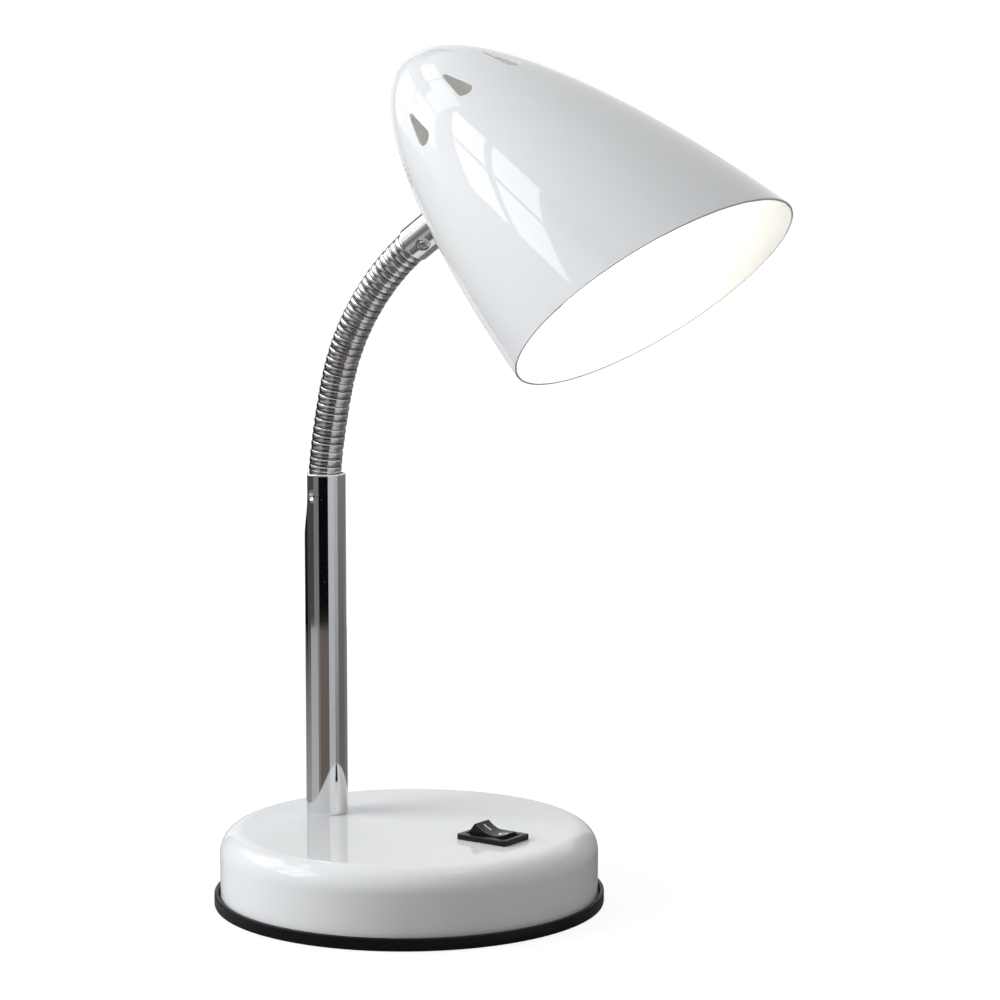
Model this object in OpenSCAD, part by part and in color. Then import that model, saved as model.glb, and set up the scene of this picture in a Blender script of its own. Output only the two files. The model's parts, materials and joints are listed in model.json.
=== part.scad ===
// Gooseneck desk lamp with a round weighted base, a chromed stem and neck and an enamelled bell shade.
// Millimetres, +Z up. The origin is the centre of the foot pad's face on the desk.
// +X is forward, from the stem towards the switch. The lamp leans over in the plane y = 0.

/* [Base] */
// Outer radius of the enamelled base shell
base_r = 67.8; // [64:0.1:75]
// Height of the shell's top face above the desk
base_h = 27.6; // [26:0.1:34]
// Rounding of the shell's top edge
base_fillet = 8.5; // [5:0.5:9]
// Sheet thickness of the base shell
base_wall = 1; // [0.8:0.1:1.2]
// Radial gap between the shell and the lip of the tray
lip_gap = 0.7; // [0.4:0.1:1.2]
// Thickness of the tray's lip
lip_wall = 1.5; // [1:0.1:2.5]
// Height of the tray's lip above the desk
lip_h = 4.8; // [4:0.1:6]
// Thickness of the tray's floor
floor_t = 2.5; // [2.2:0.1:3]
// Rounding of the lip's top edge
lip_round = 0.5; // [0.2:0.1:0.6]

/* [Foot pad] */
// Radius of the foot pad
pad_r = 54; // [48:0.5:55]
// Thickness of the foot pad
pad_t = 1.2; // [1:0.1:1.5]
// How far the pad stands proud of the tray
pad_proud = 0.3; // [0.2:0.1:0.5]

/* [Ballast] */
// Outer radius of the cast ballast ring
ballast_r = 54; // [50:0.5:54.5]
// Height of the ballast ring
ballast_h = 10.2; // [8:0.1:10.6]
// Radius of the hole in the ballast's middle
ballast_bore_r = 17; // [16:0.5:20]
// Width of the groove for the stem's lead
groove_w = 10; // [8:0.5:12]
// Floor left under that groove
groove_floor = 3; // [2:0.1:4]

/* [Tray screws] */
// Number of screws that hold the tray
tray_screws_n = 3; // [3:1:4]
// Radius of the circle that the tray screws lie on
screw_circle_r = 59; // [58.5:0.1:59.5]
// Radius of the shell's screw posts
post_r = 3.5; // [3:0.1:4]
// Radius of the tray screws' shank
screw_r = 1.5; // [1.2:0.05:1.7]
// Radius of the tray screws' head
screw_head_r = 2.8; // [2.4:0.1:3]
// Height of the tray screws' head
screw_head_h = 1.4; // [1.2:0.1:1.6]
// Length of the tray screws under the head
screw_len = 10; // [8:0.5:14]

/* [Stem] */
// Distance of the stem behind the base's centre
stem_back = 37.8; // [34:0.1:42]
// Outer radius of the stem tube
stem_r = 7.6; // [7:0.05:8.5]
// Wall of the stem tube
stem_wall = 1; // [0.8:0.05:1.1]
// Length of the stem tube
stem_len = 124.9; // [90:0.1:200]
// Length of the stem's top that is pressed flat on one side, on the neck that it holds
crimp_len = 24; // [18:1:30]
// Depth of that flat at the very top
crimp_depth = 1.1; // [0.8:0.05:1.2]
// Direction in which the flat faces
crimp_angle = -125; // [-180:1:180]
// Gap between the stem tube and the neck in it
root_gap = 0.15; // [0.1:0.01:0.25]
// Radius of the ball-shaped punch mark that locks the neck
punch_r = 1.9; // [1.4:0.1:2.4]
// Depth of the punch mark
punch_depth = 0.5; // [0.3:0.05:0.7]
// Depth of the punch mark's centre under the stem's top
punch_down = 8; // [6:0.5:12]
// Direction in which the punch mark faces
punch_angle = -91; // [-180:1:180]

/* [Threaded tubes] */
// Outer radius of the hollow threaded tubes
nipple_r = 4.95; // [4.8:0.01:5]
// Bore radius of the hollow threaded tubes
nipple_bore_r = 3.6; // [3.3:0.05:3.8]
// Radial clearance of what a threaded tube screws into
thread_clear = 0.05; // [0.03:0.01:0.08]
// Radial clearance of what a threaded tube passes through
pass_clear = 0.25; // [0.15:0.05:0.4]
// Width across the flats of the nuts
nut_flats = 14; // [13:0.5:15]
// Height of the nuts
nut_h = 3.5; // [3:0.1:4]
// Outer radius of the plain washer in the base
washer_r = 12; // [10:0.5:13]
// Thickness of the plain washer in the base
washer_t = 1.5; // [1:0.1:2]
// Outer radius of the toothed lock washers
lock_r = 8.4; // [8:0.1:9]
// Thickness of the toothed lock washers
lock_t = 1; // [0.8:0.1:1.2]
// Number of teeth on a lock washer
lock_teeth = 10; // [8:1:14]
// Height of the threaded plug in the stem's foot
plug_h = 12; // [10:0.5:18]

/* [Neck] */
// Distance between two pivots of the neck
link_pitch = 8.6; // [8.4:0.1:9.5]
// Outer radius of the neck's bands
neck_r = 6; // [5.9:0.05:6.2]
// Depth of the grooves between the bands
band_depth = 0.5; // [0.3:0.05:0.6]
// Number of bands on each link
bands_n = 3; // [2:1:3]
// Width of a groove inside a link
band_gap = 0.8; // [0.6:0.05:1]
// Gap between the ends of two links
link_gap = 1.4; // [1.35:0.05:1.6]
// Chamfer on the edges of the bands
band_chamfer = 0.25; // [0.1:0.05:0.3]
// Radius of the ball lip on each link
ball_r = 4.9; // [4.8:0.05:5]
// Running clearance between a ball lip and its socket
ball_clear = 0.3; // [0.25:0.05:0.35]
// Reach of a ball lip past its pivot
ball_reach = 3; // [2.5:0.1:3.1]
// Bore radius through the neck
neck_bore_r = 3.3; // [3:0.05:3.4]
// Height of the lowest pivot above the stem's end
first_pivot_up = 0.4; // [0.35:0.05:0.8]
// Length of the neck's root inside the stem
root_len = 20; // [14:0.5:30]

/* [Collar] */
// Outer radius of the chromed collar at the shade
collar_r = 6.65; // [6.5:0.05:7]
// Radius of the collar's screw
collar_screw_r = 1.5; // [1.2:0.1:1.7]
// Distance of the collar's screw from the neck's last pivot
collar_screw_up = 7.5; // [7:0.1:9]
// Direction of the collar's screw around the collar
collar_screw_angle = -49; // [-180:1:180]
// How far the collar's screw stands out
collar_screw_out = 0.3; // [0.1:0.05:0.6]

/* [Shade] */
// Distance along the neck from its last pivot to the shade's axis
neck_to_axis = 51.2; // [49:0.1:54]
// Distance of the neck's axis from the shade's apex
apex_to_neck = 55.6; // [54:0.1:58]
// Angle between the neck and the shade's axis
shade_turn = 72; // [70:0.5:75]
// Roundness of the shade's apex
shade_nose = 12.79; // [12.4:0.01:13.5]
// How fast the shade's flare slows down
shade_slow = 0.0227; // [0.01:0.0001:0.03]
// How fast the flare slows down near the rim
shade_slow_rim = 0.0001; // [0:0.00001:0.0002]
// Sheet thickness of the shade
shade_wall = 0.8; // [0.6:0.05:1]
// Distance from the apex to the rim along the axis
rim_at = 127.3; // [124:0.1:135]
// Slant of the rim
rim_slant = 15.4; // [10:0.1:16]
// Number of vents around the shade
vents_n = 8; // [6:1:8]
// Angle between two vents
vent_step = 40; // [36:1:42]
// Angle of the first vent from the neck
vent_first = 33.3; // [30:0.1:38]
// Distance from the apex to the middle of the vents
vent_at = 34.2; // [33:0.1:36]
// Length of a vent
vent_len = 16.2; // [14:0.1:17]
// Radius of a vent's narrow end
vent_r_small = 0.8; // [0.6:0.05:1.2]
// Radius of a vent's wide end
vent_r_big = 2.8; // [2.2:0.05:3.2]

/* [Lampholder] */
// Width of the bracket inside the shade
bracket_w = 13; // [12:0.5:14]
// Thickness of the bracket
bracket_t = 1.5; // [1.2:0.1:1.8]
// Distance from the apex to the bracket's holder leg
bracket_at = 32; // [31:0.1:33]
// Gap between the shade and the washer at the neck
wall_seat = 0.75; // [0.7:0.01:0.95]
// Outer radius of the washer inside the shade
seat_washer_r = 7; // [6.8:0.1:7.4]
// Thickness of the washer inside the shade
seat_washer_t = 1; // [0.8:0.1:1.2]
// Outer radius of the lampholder
holder_r = 13.5; // [13:0.1:14.5]
// Length of the lampholder's cap
cap_len = 17; // [16:0.5:20]
// Length of the lampholder's skirt
skirt_len = 23; // [22:0.5:26]
// Wall of the lampholder
holder_wall = 2; // [1.6:0.1:2.4]
// Thickness of the floor between the lampholder's cap and skirt
holder_floor = 1.2; // [1:0.1:1.6]
// Height of the shoulder that the threaded shell stands in
holder_shoulder = 4; // [3:0.1:5]
// Length of the threaded shell in the lampholder
screw_shell_len = 16; // [14:0.5:17]

/* [Bulb] */
// Radius over the thread of the bulb's cap
bulb_cap_r = 6.9; // [6.8:0.01:6.95]
// Radius of the bulb's globe
globe_r = 22.5; // [20:0.5:23]
// Overall length of the bulb
bulb_len = 71; // [68:0.5:73]
// Wall of the globe
globe_wall = 1; // [0.8:0.1:1.5]

/* [Switch] */
// Distance of the switch in front of the base's centre
switch_front = 37; // [35:0.1:38]
// Length of the switch's bezel
bezel_l = 21; // [20.6:0.1:23]
// Width of the switch's bezel
bezel_w = 15; // [14.6:0.1:16]
// Thickness of the bezel
bezel_t = 2; // [1.5:0.1:2.2]
// Length of the switch's body under the bezel
switch_l = 19; // [18.8:0.1:19.2]
// Width of the switch's body under the bezel
switch_w = 12.6; // [12.2:0.1:13]
// Depth of the switch's body below the shell's top
switch_depth = 12; // [11.8:0.1:12.5]
// Width of the rocker
rocker_w = 8.6; // [8:0.1:9]
// Half length of the rocker
rocker_half = 8.2; // [8:0.05:8.3]
// Height of the rocker's corners above its pivot
rocker_top = 4.6; // [4.2:0.1:5]
// Distance of the rocker's top corners from its middle
rocker_corner = 6.1; // [5.8:0.1:6.4]
// Radius of the rocker's hollow top
rocker_hollow_r = 12; // [11:0.5:16]
// Tilt of the rocker either way
rocker_tilt = 13; // [10:0.5:13]
// Tilt of the contact lever either way
contact_tilt = 6; // [5:0.5:7]
// Radius of the rocker's pivot pins
rocker_pin_r = 1.2; // [1:0.05:1.4]
// Running clearance of the rocker's pivot pins
pin_clear = 0.06; // [0.03:0.01:0.09]
// Gap around the rocker in its window
window_gap = 0.3; // [0.25:0.05:0.4]
// Gap around the switch in the shell's cut-out
panel_gap = 0.15; // [0.1:0.05:0.2]

/* [Cord inlet] */
// Height of the cord inlet above the desk
inlet_h = 12; // [11.5:0.1:14]
// Bore radius of the cord inlet
inlet_bore_r = 3.2; // [2.8:0.05:3.4]
// Radius of the inlet bush in the shell's wall
inlet_r = 4.4; // [4:0.05:4.6]
// Radius of the inlet bush's flange
inlet_flange_r = 6; // [5.5:0.1:6.5]
// Thickness of the inlet bush's flange
inlet_flange_t = 2; // [1.5:0.1:2.1]
// Length of the inlet bush behind its flange
inlet_len = 10; // [8:0.5:12]

/* [Hidden] */
$fn = 64;
eps = 0.01;

// Rest bend at each pivot of the neck, from the stem to the collar
rest_bends = [7, 3, 1.5, 2, 4.5, 6, 6, 5.5, 5, 5, 5.5, 5];
links_n = len(rest_bends) - 1;

tray_bottom = pad_proud;
tray_top = tray_bottom + floor_t;
lip_inner_r = base_r + lip_gap;
tray_r = lip_inner_r + lip_wall;
shell_under = base_h - base_wall;
pad_recess_gap = 0.3;

stem_x = -stem_back;
stem_top = base_h + stem_len;
stem_bore_r = stem_r - stem_wall;
thread_r = nipple_r + thread_clear;
pass_r = nipple_r + pass_clear;
nipple_end = 5;

socket_r = ball_r + ball_clear;
band_w = (link_pitch - link_gap - (bands_n - 1) * band_gap) / bands_n;
groove_r = neck_r - band_depth;

lead_r = 2.2;
core_r = 0.9;
lead_gap = 0.3;
block_l = 16;
block_h = 12;
block_core_y = 4.5;
insert_r = 2;
insert_bore_r = 1.5;
pinch_r = 1.2;
block_core_z = tray_top + 6;

pivot_drop = 0.1;
pivot_z = base_h - pivot_drop;
plunger_reach = 7.5;
plunger_r = 1.2;
plunger_gap = 0.15;
plunger_shank = 4;
boss_floor = 1.5;
lever_t = 0.6;
lever_l = 13;
lever_w = 5;
lever_room = 0.35;
lever_z = pivot_z - plunger_reach - plunger_r - plunger_gap - lever_t / 2;
lever_low = lever_z - lever_t / 2 - lever_l / 2 * sin(contact_tilt);
housing_bottom = base_h - switch_depth;
housing_top_of_floor = lever_low - lever_room;
blade_w = 4.8;
blade_t = 0.8;
blade_len = 7.5;
contact_x = 5.6;

// Lean of the neck from the vertical after its first k pivots
function lean(k) = k == 0 ? 0 : lean(k - 1) + rest_bends[k - 1];

// Place of pivot k, counted from 1 at the stem
function pivot(k) = k == 1
    ? [stem_x, 0, stem_top + first_pivot_up]
    : pivot(k - 1) + link_pitch * [sin(lean(k - 1)), 0, cos(lean(k - 1))];

// Square of the shade's outer radius at a distance from the apex, its slope, and the radius
function shade_sq(s) = 2 * shade_nose * s - shade_slow * s * s - shade_slow_rim * s * s * s;
function shade_sq_slope(s) = 2 * shade_nose - 2 * shade_slow * s - 3 * shade_slow_rim * s * s;
function shade_r(s) = sqrt(shade_sq(s));

// Point on the shade's outline, moved inwards by a depth square to the sheet
function shade_point(s, depth) =
    let (r = shade_r(s), n = [2 * r, -shade_sq_slope(s)])
    [r, s] - depth * n / norm(n);

// Stations along the shade, closer together near the apex
shade_steps = 24;
shade_end = rim_at + 24;
stations = [for (i = [0 : shade_steps]) shade_end * pow(i / shade_steps, 2)];

// Distance from the shade's axis to its wall, measured back along the neck
function wall_back(d, n) = n == 0
    ? d
    : wall_back(shade_r(apex_to_neck - d * cos(shade_turn)) / sin(shade_turn), n - 1);
wall_up = neck_to_axis - wall_back(shade_r(apex_to_neck), 8);
washer_up = wall_up + shade_wall + wall_seat;
bracket_up = washer_up + seat_washer_t;
head_lock_up = bracket_up + bracket_t;
head_nut_up = head_lock_up + lock_t;
head_nipple_in = 7;
head_nipple_out = 1.5;
head_nipple_low = wall_up - head_nipple_in;
head_nipple_top = head_nut_up + nut_h + head_nipple_out;

holder_back = bracket_at + bracket_t;
skirt_back = holder_back + cap_len;
contact_t = 0.6;
tip_back = skirt_back + holder_floor + contact_t;
globe_centre = tip_back + bulb_len - globe_r;
holder_nipple_len = 10;
holder_nipple_out = 1;
core_entry_z = skirt_back - 5;
core_entry_y = 3.5;
pole_y = 8;
pole_r = 1.5;
pole_block = 4;
shell_clear = 0.2;
shell_wall = 0.5;
shell_r = bulb_cap_r + shell_clear + shell_wall;
bulb_thread_depth = 0.6;
bulb_core_r = bulb_cap_r - bulb_thread_depth;
bulb_tip_h = 0.8;
bulb_insulator_h = 2.2;
bulb_cap_len = 19;
bulb_cap_back = tip_back + bulb_tip_h + bulb_insulator_h;

// Share of the globe's radius at which the globe meets its collar, behind the globe's centre
globe_cut = 0.45;
globe_flat = globe_centre - globe_cut * globe_r;

// ---------------------------------------------------------------- helpers

// Ring with a bore
module ring(r_out, r_in, h) {
    difference() {
        cylinder(r = r_out, h = h);
        translate([0, 0, -1]) cylinder(r = r_in, h = h + 2);
    }
}

// Hexagonal nut with a threaded hole
module hex_nut(flats, h, bore_r) {
    difference() {
        cylinder(r = flats / 2 / cos(30), h = h, $fn = 6);
        translate([0, 0, -1]) cylinder(r = bore_r, h = h + 2);
    }
}

// Lock washer with teeth around its rim
module toothed_washer(r_out, bore_r, h, teeth) {
    tooth_gap = 1.4;
    difference() {
        cylinder(r = r_out, h = h);
        translate([0, 0, -1]) cylinder(r = bore_r, h = h + 2);
        for (i = [0 : teeth - 1])
            rotate([0, 0, i * 360 / teeth])
                translate([r_out - tooth_gap, -tooth_gap / 2, -1])
                    cube([tooth_gap * 2, tooth_gap, h + 2]);
    }
}

// Direction of a route at point i, halfway between the runs before and after it
function route_dir(points, i) =
    let (
        last = len(points) - 1,
        back = points[max(i, 1)] - points[max(i, 1) - 1],
        ahead = points[min(i, last - 1) + 1] - points[min(i, last - 1)],
        d = back / norm(back) + ahead / norm(ahead)
    )
    d / norm(d);

// Wire through a list of points, none of whose runs lies along the direction named across
module wire(points, r, across = [0, 1, 0]) {
    sides = 10;
    last = len(points) - 1;
    corners = [
        for (i = [0 : last])
            let (
                d = route_dir(points, i),
                side = cross(d, across),
                u = side / norm(side),
                v = cross(d, u)
            )
            for (k = [0 : sides - 1])
                points[i] + r * (cos(k * 360 / sides) * u + sin(k * 360 / sides) * v)
    ];
    walls = [
        for (i = [0 : last - 1])
            for (k = [0 : sides - 1])
                let (a = i * sides + k, b = i * sides + (k + 1) % sides)
                [a, a + sides, b + sides, b]
    ];
    start = [for (k = [0 : sides - 1]) k];
    end = [for (k = [sides - 1 : -1 : 0]) last * sides + k];
    polyhedron(corners, concat(walls, [start, end]));
}

// Point a little way from one point towards another
function towards(from, to, way) = from + way * (to - from) / norm(to - from);

// Places its children at pivot k, with +Z along the neck beyond that pivot
module on_neck(k) {
    translate(pivot(k)) rotate([0, lean(k), 0]) children();
}

// Places its children at the shade's apex, with +Z towards the rim and +X towards the neck
module on_shade() {
    on_neck(links_n + 1)
        translate([0, 0, neck_to_axis])
            rotate([0, shade_turn, 0])
                translate([0, 0, -apex_to_neck])
                    children();
}

// Half section of a disc with a rounded upper edge
module disc_section(r, h, round_r) {
    square([r - round_r, h]);
    square([r, h - round_r]);
    translate([r - round_r, h - round_r]) circle(r = round_r);
}

// ---------------------------------------------------------------- base

module foot_pad() {
    color([0.12, 0.12, 0.13]) cylinder(r = pad_r, h = pad_t);
}

// Places its children at each tray screw
module at_tray_screws() {
    for (i = [0 : tray_screws_n - 1])
        rotate([0, 0, i * 360 / tray_screws_n]) translate([screw_circle_r, 0, 0]) children();
}

module base_tray() {
    head_room = 0.4;
    color([0.03, 0.03, 0.03])
    difference() {
        translate([0, 0, tray_bottom])
            rotate_extrude() difference() {
                intersection() {
                    union() {
                        square([tray_r, floor_t]);
                        square([tray_r, lip_h - tray_bottom - lip_round]);
                        translate([tray_r - lip_wall + lip_round, 0])
                            square([lip_wall - 2 * lip_round, lip_h - tray_bottom]);
                        translate([tray_r - lip_round, lip_h - tray_bottom - lip_round])
                            circle(r = lip_round);
                        translate([lip_inner_r + lip_round, lip_h - tray_bottom - lip_round])
                            circle(r = lip_round);
                    }
                    square([tray_r, lip_h]);
                }
                translate([0, floor_t]) square([lip_inner_r, lip_h]);
            }
        translate([0, 0, -1]) cylinder(r = pad_r + pad_recess_gap, h = pad_t + 1);
        at_tray_screws() {
            cylinder(r = screw_head_r + head_room, h = tray_bottom + screw_head_h);
            cylinder(r = screw_r + head_room, h = tray_top + 1);
        }
    }
}

module tray_screws() {
    slot_w = 0.8;
    slot_depth = 0.7;
    color([0.6, 0.6, 0.62])
    at_tray_screws() translate([0, 0, tray_bottom]) difference() {
        union() {
            cylinder(r = screw_head_r, h = screw_head_h);
            cylinder(r = screw_r, h = screw_head_h + screw_len);
        }
        translate([-screw_head_r, -slot_w / 2, -1]) cube([2 * screw_head_r, slot_w, slot_depth + 1]);
        translate([-slot_w / 2, -screw_head_r, -1]) cube([slot_w, 2 * screw_head_r, slot_depth + 1]);
    }
}

module base_shell() {
    pilot_clear = 0.05;
    inlet_gap = 0.1;
    pilot_h = tray_bottom + screw_head_h + screw_len + 1;
    height = base_h - tray_top;
    color([0.92, 0.93, 0.94])
    difference() {
        translate([0, 0, tray_top]) union() {
            difference() {
                rotate_extrude() disc_section(base_r, height, base_fillet);
                translate([0, 0, -base_wall])
                    rotate_extrude()
                        disc_section(base_r - base_wall, height, base_fillet - base_wall);
            }
            intersection() {
                at_tray_screws() cylinder(r = post_r, h = height);
                rotate_extrude()
                    disc_section(base_r - base_wall / 2, height - base_wall / 2, base_fillet);
            }
        }
        at_tray_screws() cylinder(r = screw_r + pilot_clear, h = pilot_h);
        translate([stem_x, 0, shell_under - 1]) cylinder(r = pass_r, h = base_wall + 2);
        translate([switch_front, 0, base_h])
            cube([switch_l + 2 * panel_gap, switch_w + 2 * panel_gap, 4 * base_wall], center = true);
        translate([-base_r - 1, 0, inlet_h]) rotate([0, 90, 0])
            cylinder(r = inlet_r + inlet_gap, h = base_wall + 3);
    }
}

module base_ballast() {
    window_gap_x = 3;
    window_gap_y = 3.2;
    window_front = switch_front + switch_l / 2 + window_gap_x;
    window_w = switch_w + 2 * window_gap_y;
    color([0.33, 0.33, 0.34])
    difference() {
        translate([0, 0, tray_top]) ring(ballast_r, ballast_bore_r, ballast_h);
        translate([0, -window_w / 2, 0]) cube([window_front, window_w, base_h]);
        translate([stem_x - groove_w, -groove_w / 2, tray_top + groove_floor])
            cube([stem_back, groove_w, base_h]);
    }
}

module cord_gland() {
    wall_clear = 0.3;
    inner_flange_r = 5.4;
    inner_flange_t = 1.2;
    color([0.05, 0.05, 0.05])
    translate([-base_r, 0, inlet_h]) rotate([0, 90, 0]) difference() {
        union() {
            translate([0, 0, -inlet_flange_t]) cylinder(r = inlet_flange_r, h = inlet_flange_t);
            translate([0, 0, -inlet_flange_t]) cylinder(r = inlet_r, h = inlet_flange_t + inlet_len);
            translate([0, 0, base_wall + wall_clear]) cylinder(r = inner_flange_r, h = inner_flange_t);
        }
        translate([0, 0, -inlet_flange_t - 1])
            cylinder(r = inlet_bore_r, h = inlet_flange_t + inlet_len + 2);
    }
}

// ---------------------------------------------------------------- stem

// Round bar in the stem's axis between two heights, its surface a depth under the tube's own,
// with the flat of the crimp pressed into it
module crimped_bar(depth, low, high) {
    crimp_lean = atan(crimp_depth / crimp_len);
    difference() {
        translate([0, 0, low]) cylinder(r = stem_r - depth, h = high - low);
        rotate([0, 0, crimp_angle])
            translate([stem_r - depth, 0, stem_top - crimp_len]) rotate([0, -crimp_lean, 0])
                translate([0, -stem_r, 0]) cube([stem_r, 2 * stem_r, 2 * crimp_len]);
    }
}

module stem_tube() {
    color([0.78, 0.79, 0.8])
    translate([stem_x, 0, 0]) difference() {
        crimped_bar(0, base_h, stem_top);
        crimped_bar(stem_wall, base_h - 1, stem_top + 1);
        translate([0, 0, stem_top - punch_down]) rotate([0, 0, punch_angle])
            translate([stem_r - punch_depth + punch_r, 0, 0]) sphere(r = punch_r);
    }
}

module stem_plug() {
    color([0.62, 0.62, 0.64])
    translate([stem_x, 0, base_h]) ring(stem_bore_r - thread_clear, thread_r, plug_h);
}

module stem_nipple() {
    low = shell_under - washer_t - lock_t - nut_h - nipple_end;
    color([0.75, 0.66, 0.4])
    translate([stem_x, 0, low]) ring(nipple_r, nipple_bore_r, base_h + plug_h - nipple_end / 2 - low);
}

module stem_washer() {
    color([0.7, 0.7, 0.72])
    translate([stem_x, 0, shell_under - washer_t]) ring(washer_r, pass_r, washer_t);
}

module stem_lock_washer() {
    color([0.6, 0.6, 0.62])
    translate([stem_x, 0, shell_under - washer_t - lock_t])
        toothed_washer(lock_r, pass_r, lock_t, lock_teeth);
}

module stem_nut() {
    color([0.72, 0.72, 0.74])
    translate([stem_x, 0, shell_under - washer_t - lock_t - nut_h]) hex_nut(nut_flats, nut_h, thread_r);
}

// ---------------------------------------------------------------- wiring in the base

module terminal_block() {
    web_w = 3;
    web_h = 8;
    pole_w = 8;
    well_r = 1.9;
    insert_gap = 0.05;
    color([0.9, 0.9, 0.86])
    difference() {
        union() {
            translate([-block_l / 2, -web_w / 2, tray_top]) cube([block_l, web_w, web_h]);
            for (side = [-1, 1])
                translate([-block_l / 2, side * block_core_y - pole_w / 2, tray_top])
                    cube([block_l, pole_w, block_h]);
        }
        for (side = [-1, 1]) {
            translate([-block_l / 2 - 1, side * block_core_y, block_core_z])
                rotate([0, 90, 0]) cylinder(r = insert_r + insert_gap, h = block_l + 2);
            for (end = [-1, 1])
                translate([end * block_l / 4, side * block_core_y, block_core_z])
                    cylinder(r = well_r, h = block_h);
        }
    }
}

module terminal_inserts() {
    set_back = 0.5;
    color([0.8, 0.68, 0.35])
    for (side = [-1, 1])
        translate([0, side * block_core_y, block_core_z]) difference() {
            translate([set_back - block_l / 2, 0, 0]) rotate([0, 90, 0])
                ring(insert_r, insert_bore_r, block_l - 2 * set_back);
            for (end = [-1, 1])
                translate([end * block_l / 4, 0, 0]) cylinder(r = pinch_r + thread_clear, h = 2 * insert_r);
        }
}

module terminal_screws() {
    core_gap = 0.1;
    head_r = 1.7;
    head_low = 2;
    top = 3.4;
    slot_w = 0.6;
    slot_depth = 0.5;
    color([0.7, 0.7, 0.72])
    for (side = [-1, 1])
        for (end = [-1, 1])
            translate([end * block_l / 4, side * block_core_y, block_core_z + core_r + core_gap])
                difference() {
                    union() {
                        cylinder(r = pinch_r, h = top);
                        translate([0, 0, head_low]) cylinder(r = head_r, h = top - head_low);
                    }
                    translate([-head_r - 1, -slot_w / 2, top - slot_depth])
                        cube([2 * head_r + 2, slot_w, 1]);
                }
}

module stem_lead() {
    sheath_start = -13;
    core_end = 2.5;
    core_split = 1.1;
    color([0.92, 0.92, 0.9]) {
        wire([
            [sheath_start, 0, block_core_z],
            [stem_x + 7, 0, block_core_z],
            [stem_x + 1, 0, block_core_z + 2],
            [stem_x, 0, block_core_z + 7],
            [stem_x, 0, stem_top + first_pivot_up]
        ], lead_r);
        for (side = [-1, 1])
            wire([
                [-core_end, side * block_core_y, block_core_z],
                [-block_l / 2 - 1, side * block_core_y, block_core_z],
                [sheath_start + lead_gap, side * core_split, block_core_z]
            ], core_r);
    }
}

module switch_leads() {
    core_end = 2.5;
    solder_gap = 0.5;
    color([0.15, 0.12, 0.1])
    for (side = [-1, 1]) {
        blade_x = switch_front + (side < 0 ? 0 : contact_x);
        wire([
            [core_end, side * block_core_y, block_core_z],
            [block_l / 2 + 3, side * block_core_y, block_core_z],
            [blade_x - 3, side * 3.4, block_core_z],
            [blade_x, side * 0.6, housing_bottom - blade_len - core_r - solder_gap]
        ], core_r);
    }
}

// ---------------------------------------------------------------- switch

module switch_housing() {
    window_l = 2 * (rocker_half + window_gap);
    window_w = rocker_w + 2 * window_gap;
    corner = 0.8;
    pin_wall = 0.4;
    lug = 0.5;
    lug_h = 3;
    lug_w = 6;
    lug_drop = 0.2;
    lug_lead = 0.6;
    blade_gap = 0.05;
    color([0.04, 0.04, 0.05])
    translate([switch_front, 0, 0]) difference() {
        union() {
            translate([0, 0, base_h]) linear_extrude(bezel_t) rounded_plate(bezel_l, bezel_w, corner);
            translate([-switch_l / 2, -switch_w / 2, housing_bottom])
                cube([switch_l, switch_w, switch_depth + eps]);
            for (side = [-1, 1])
                rotate([0, 0, side < 0 ? 180 : 0])
                    translate([switch_l / 2 - eps, lug_w / 2, shell_under - lug_drop])
                        rotate([90, 0, 0]) linear_extrude(lug_w)
                            polygon([[0, 0], [panel_gap + lug, -lug_lead], [0, -lug_h]]);
        }
        translate([-window_l / 2, -window_w / 2, housing_top_of_floor])
            cube([window_l, window_w, base_h]);
        translate([0, switch_w / 2 - pin_wall, pivot_z]) rotate([90, 0, 0])
            cylinder(r = rocker_pin_r + pin_clear, h = switch_w - 2 * pin_wall);
        for (x = [0, contact_x])
            translate([x - blade_t / 2 - blade_gap, -blade_w / 2 - blade_gap, 0])
                cube([blade_t + 2 * blade_gap, blade_w + 2 * blade_gap, housing_top_of_floor + 1]);
    }
}

// Plate outline with rounded corners, centred
module rounded_plate(l, w, r) {
    square([l - 2 * r, w], center = true);
    square([l, w - 2 * r], center = true);
    for (x = [-1, 1])
        for (y = [-1, 1])
            translate([x * (l / 2 - r), y * (w / 2 - r)]) circle(r = r);
}

module switch_terminals() {
    fulcrum_gap = 0.35;
    pad_gap = 0.2;
    color([0.82, 0.72, 0.45])
    translate([switch_front, 0, 0]) {
        blade(0, lever_z - lever_t / 2 - fulcrum_gap);
        blade(contact_x, lever_low - pad_gap);
    }
}

// Terminal blade at x, reaching up to a height, with a hole for the wire
module blade(x, top) {
    low = housing_bottom - blade_len;
    eye_r = 0.8;
    eye_up = 2.2;
    translate([x, 0, 0]) difference() {
        translate([-blade_t / 2, -blade_w / 2, low]) cube([blade_t, blade_w, top - low]);
        translate([-blade_t, 0, low + eye_up]) rotate([0, 90, 0]) cylinder(r = eye_r, h = 2 * blade_t);
    }
}

// Places its children at the rocker's pivot, pressed down on the side marked with a ring
module at_rocker() {
    translate([switch_front, 0, pivot_z]) rotate([0, rocker_tilt, 0]) children();
}

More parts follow.
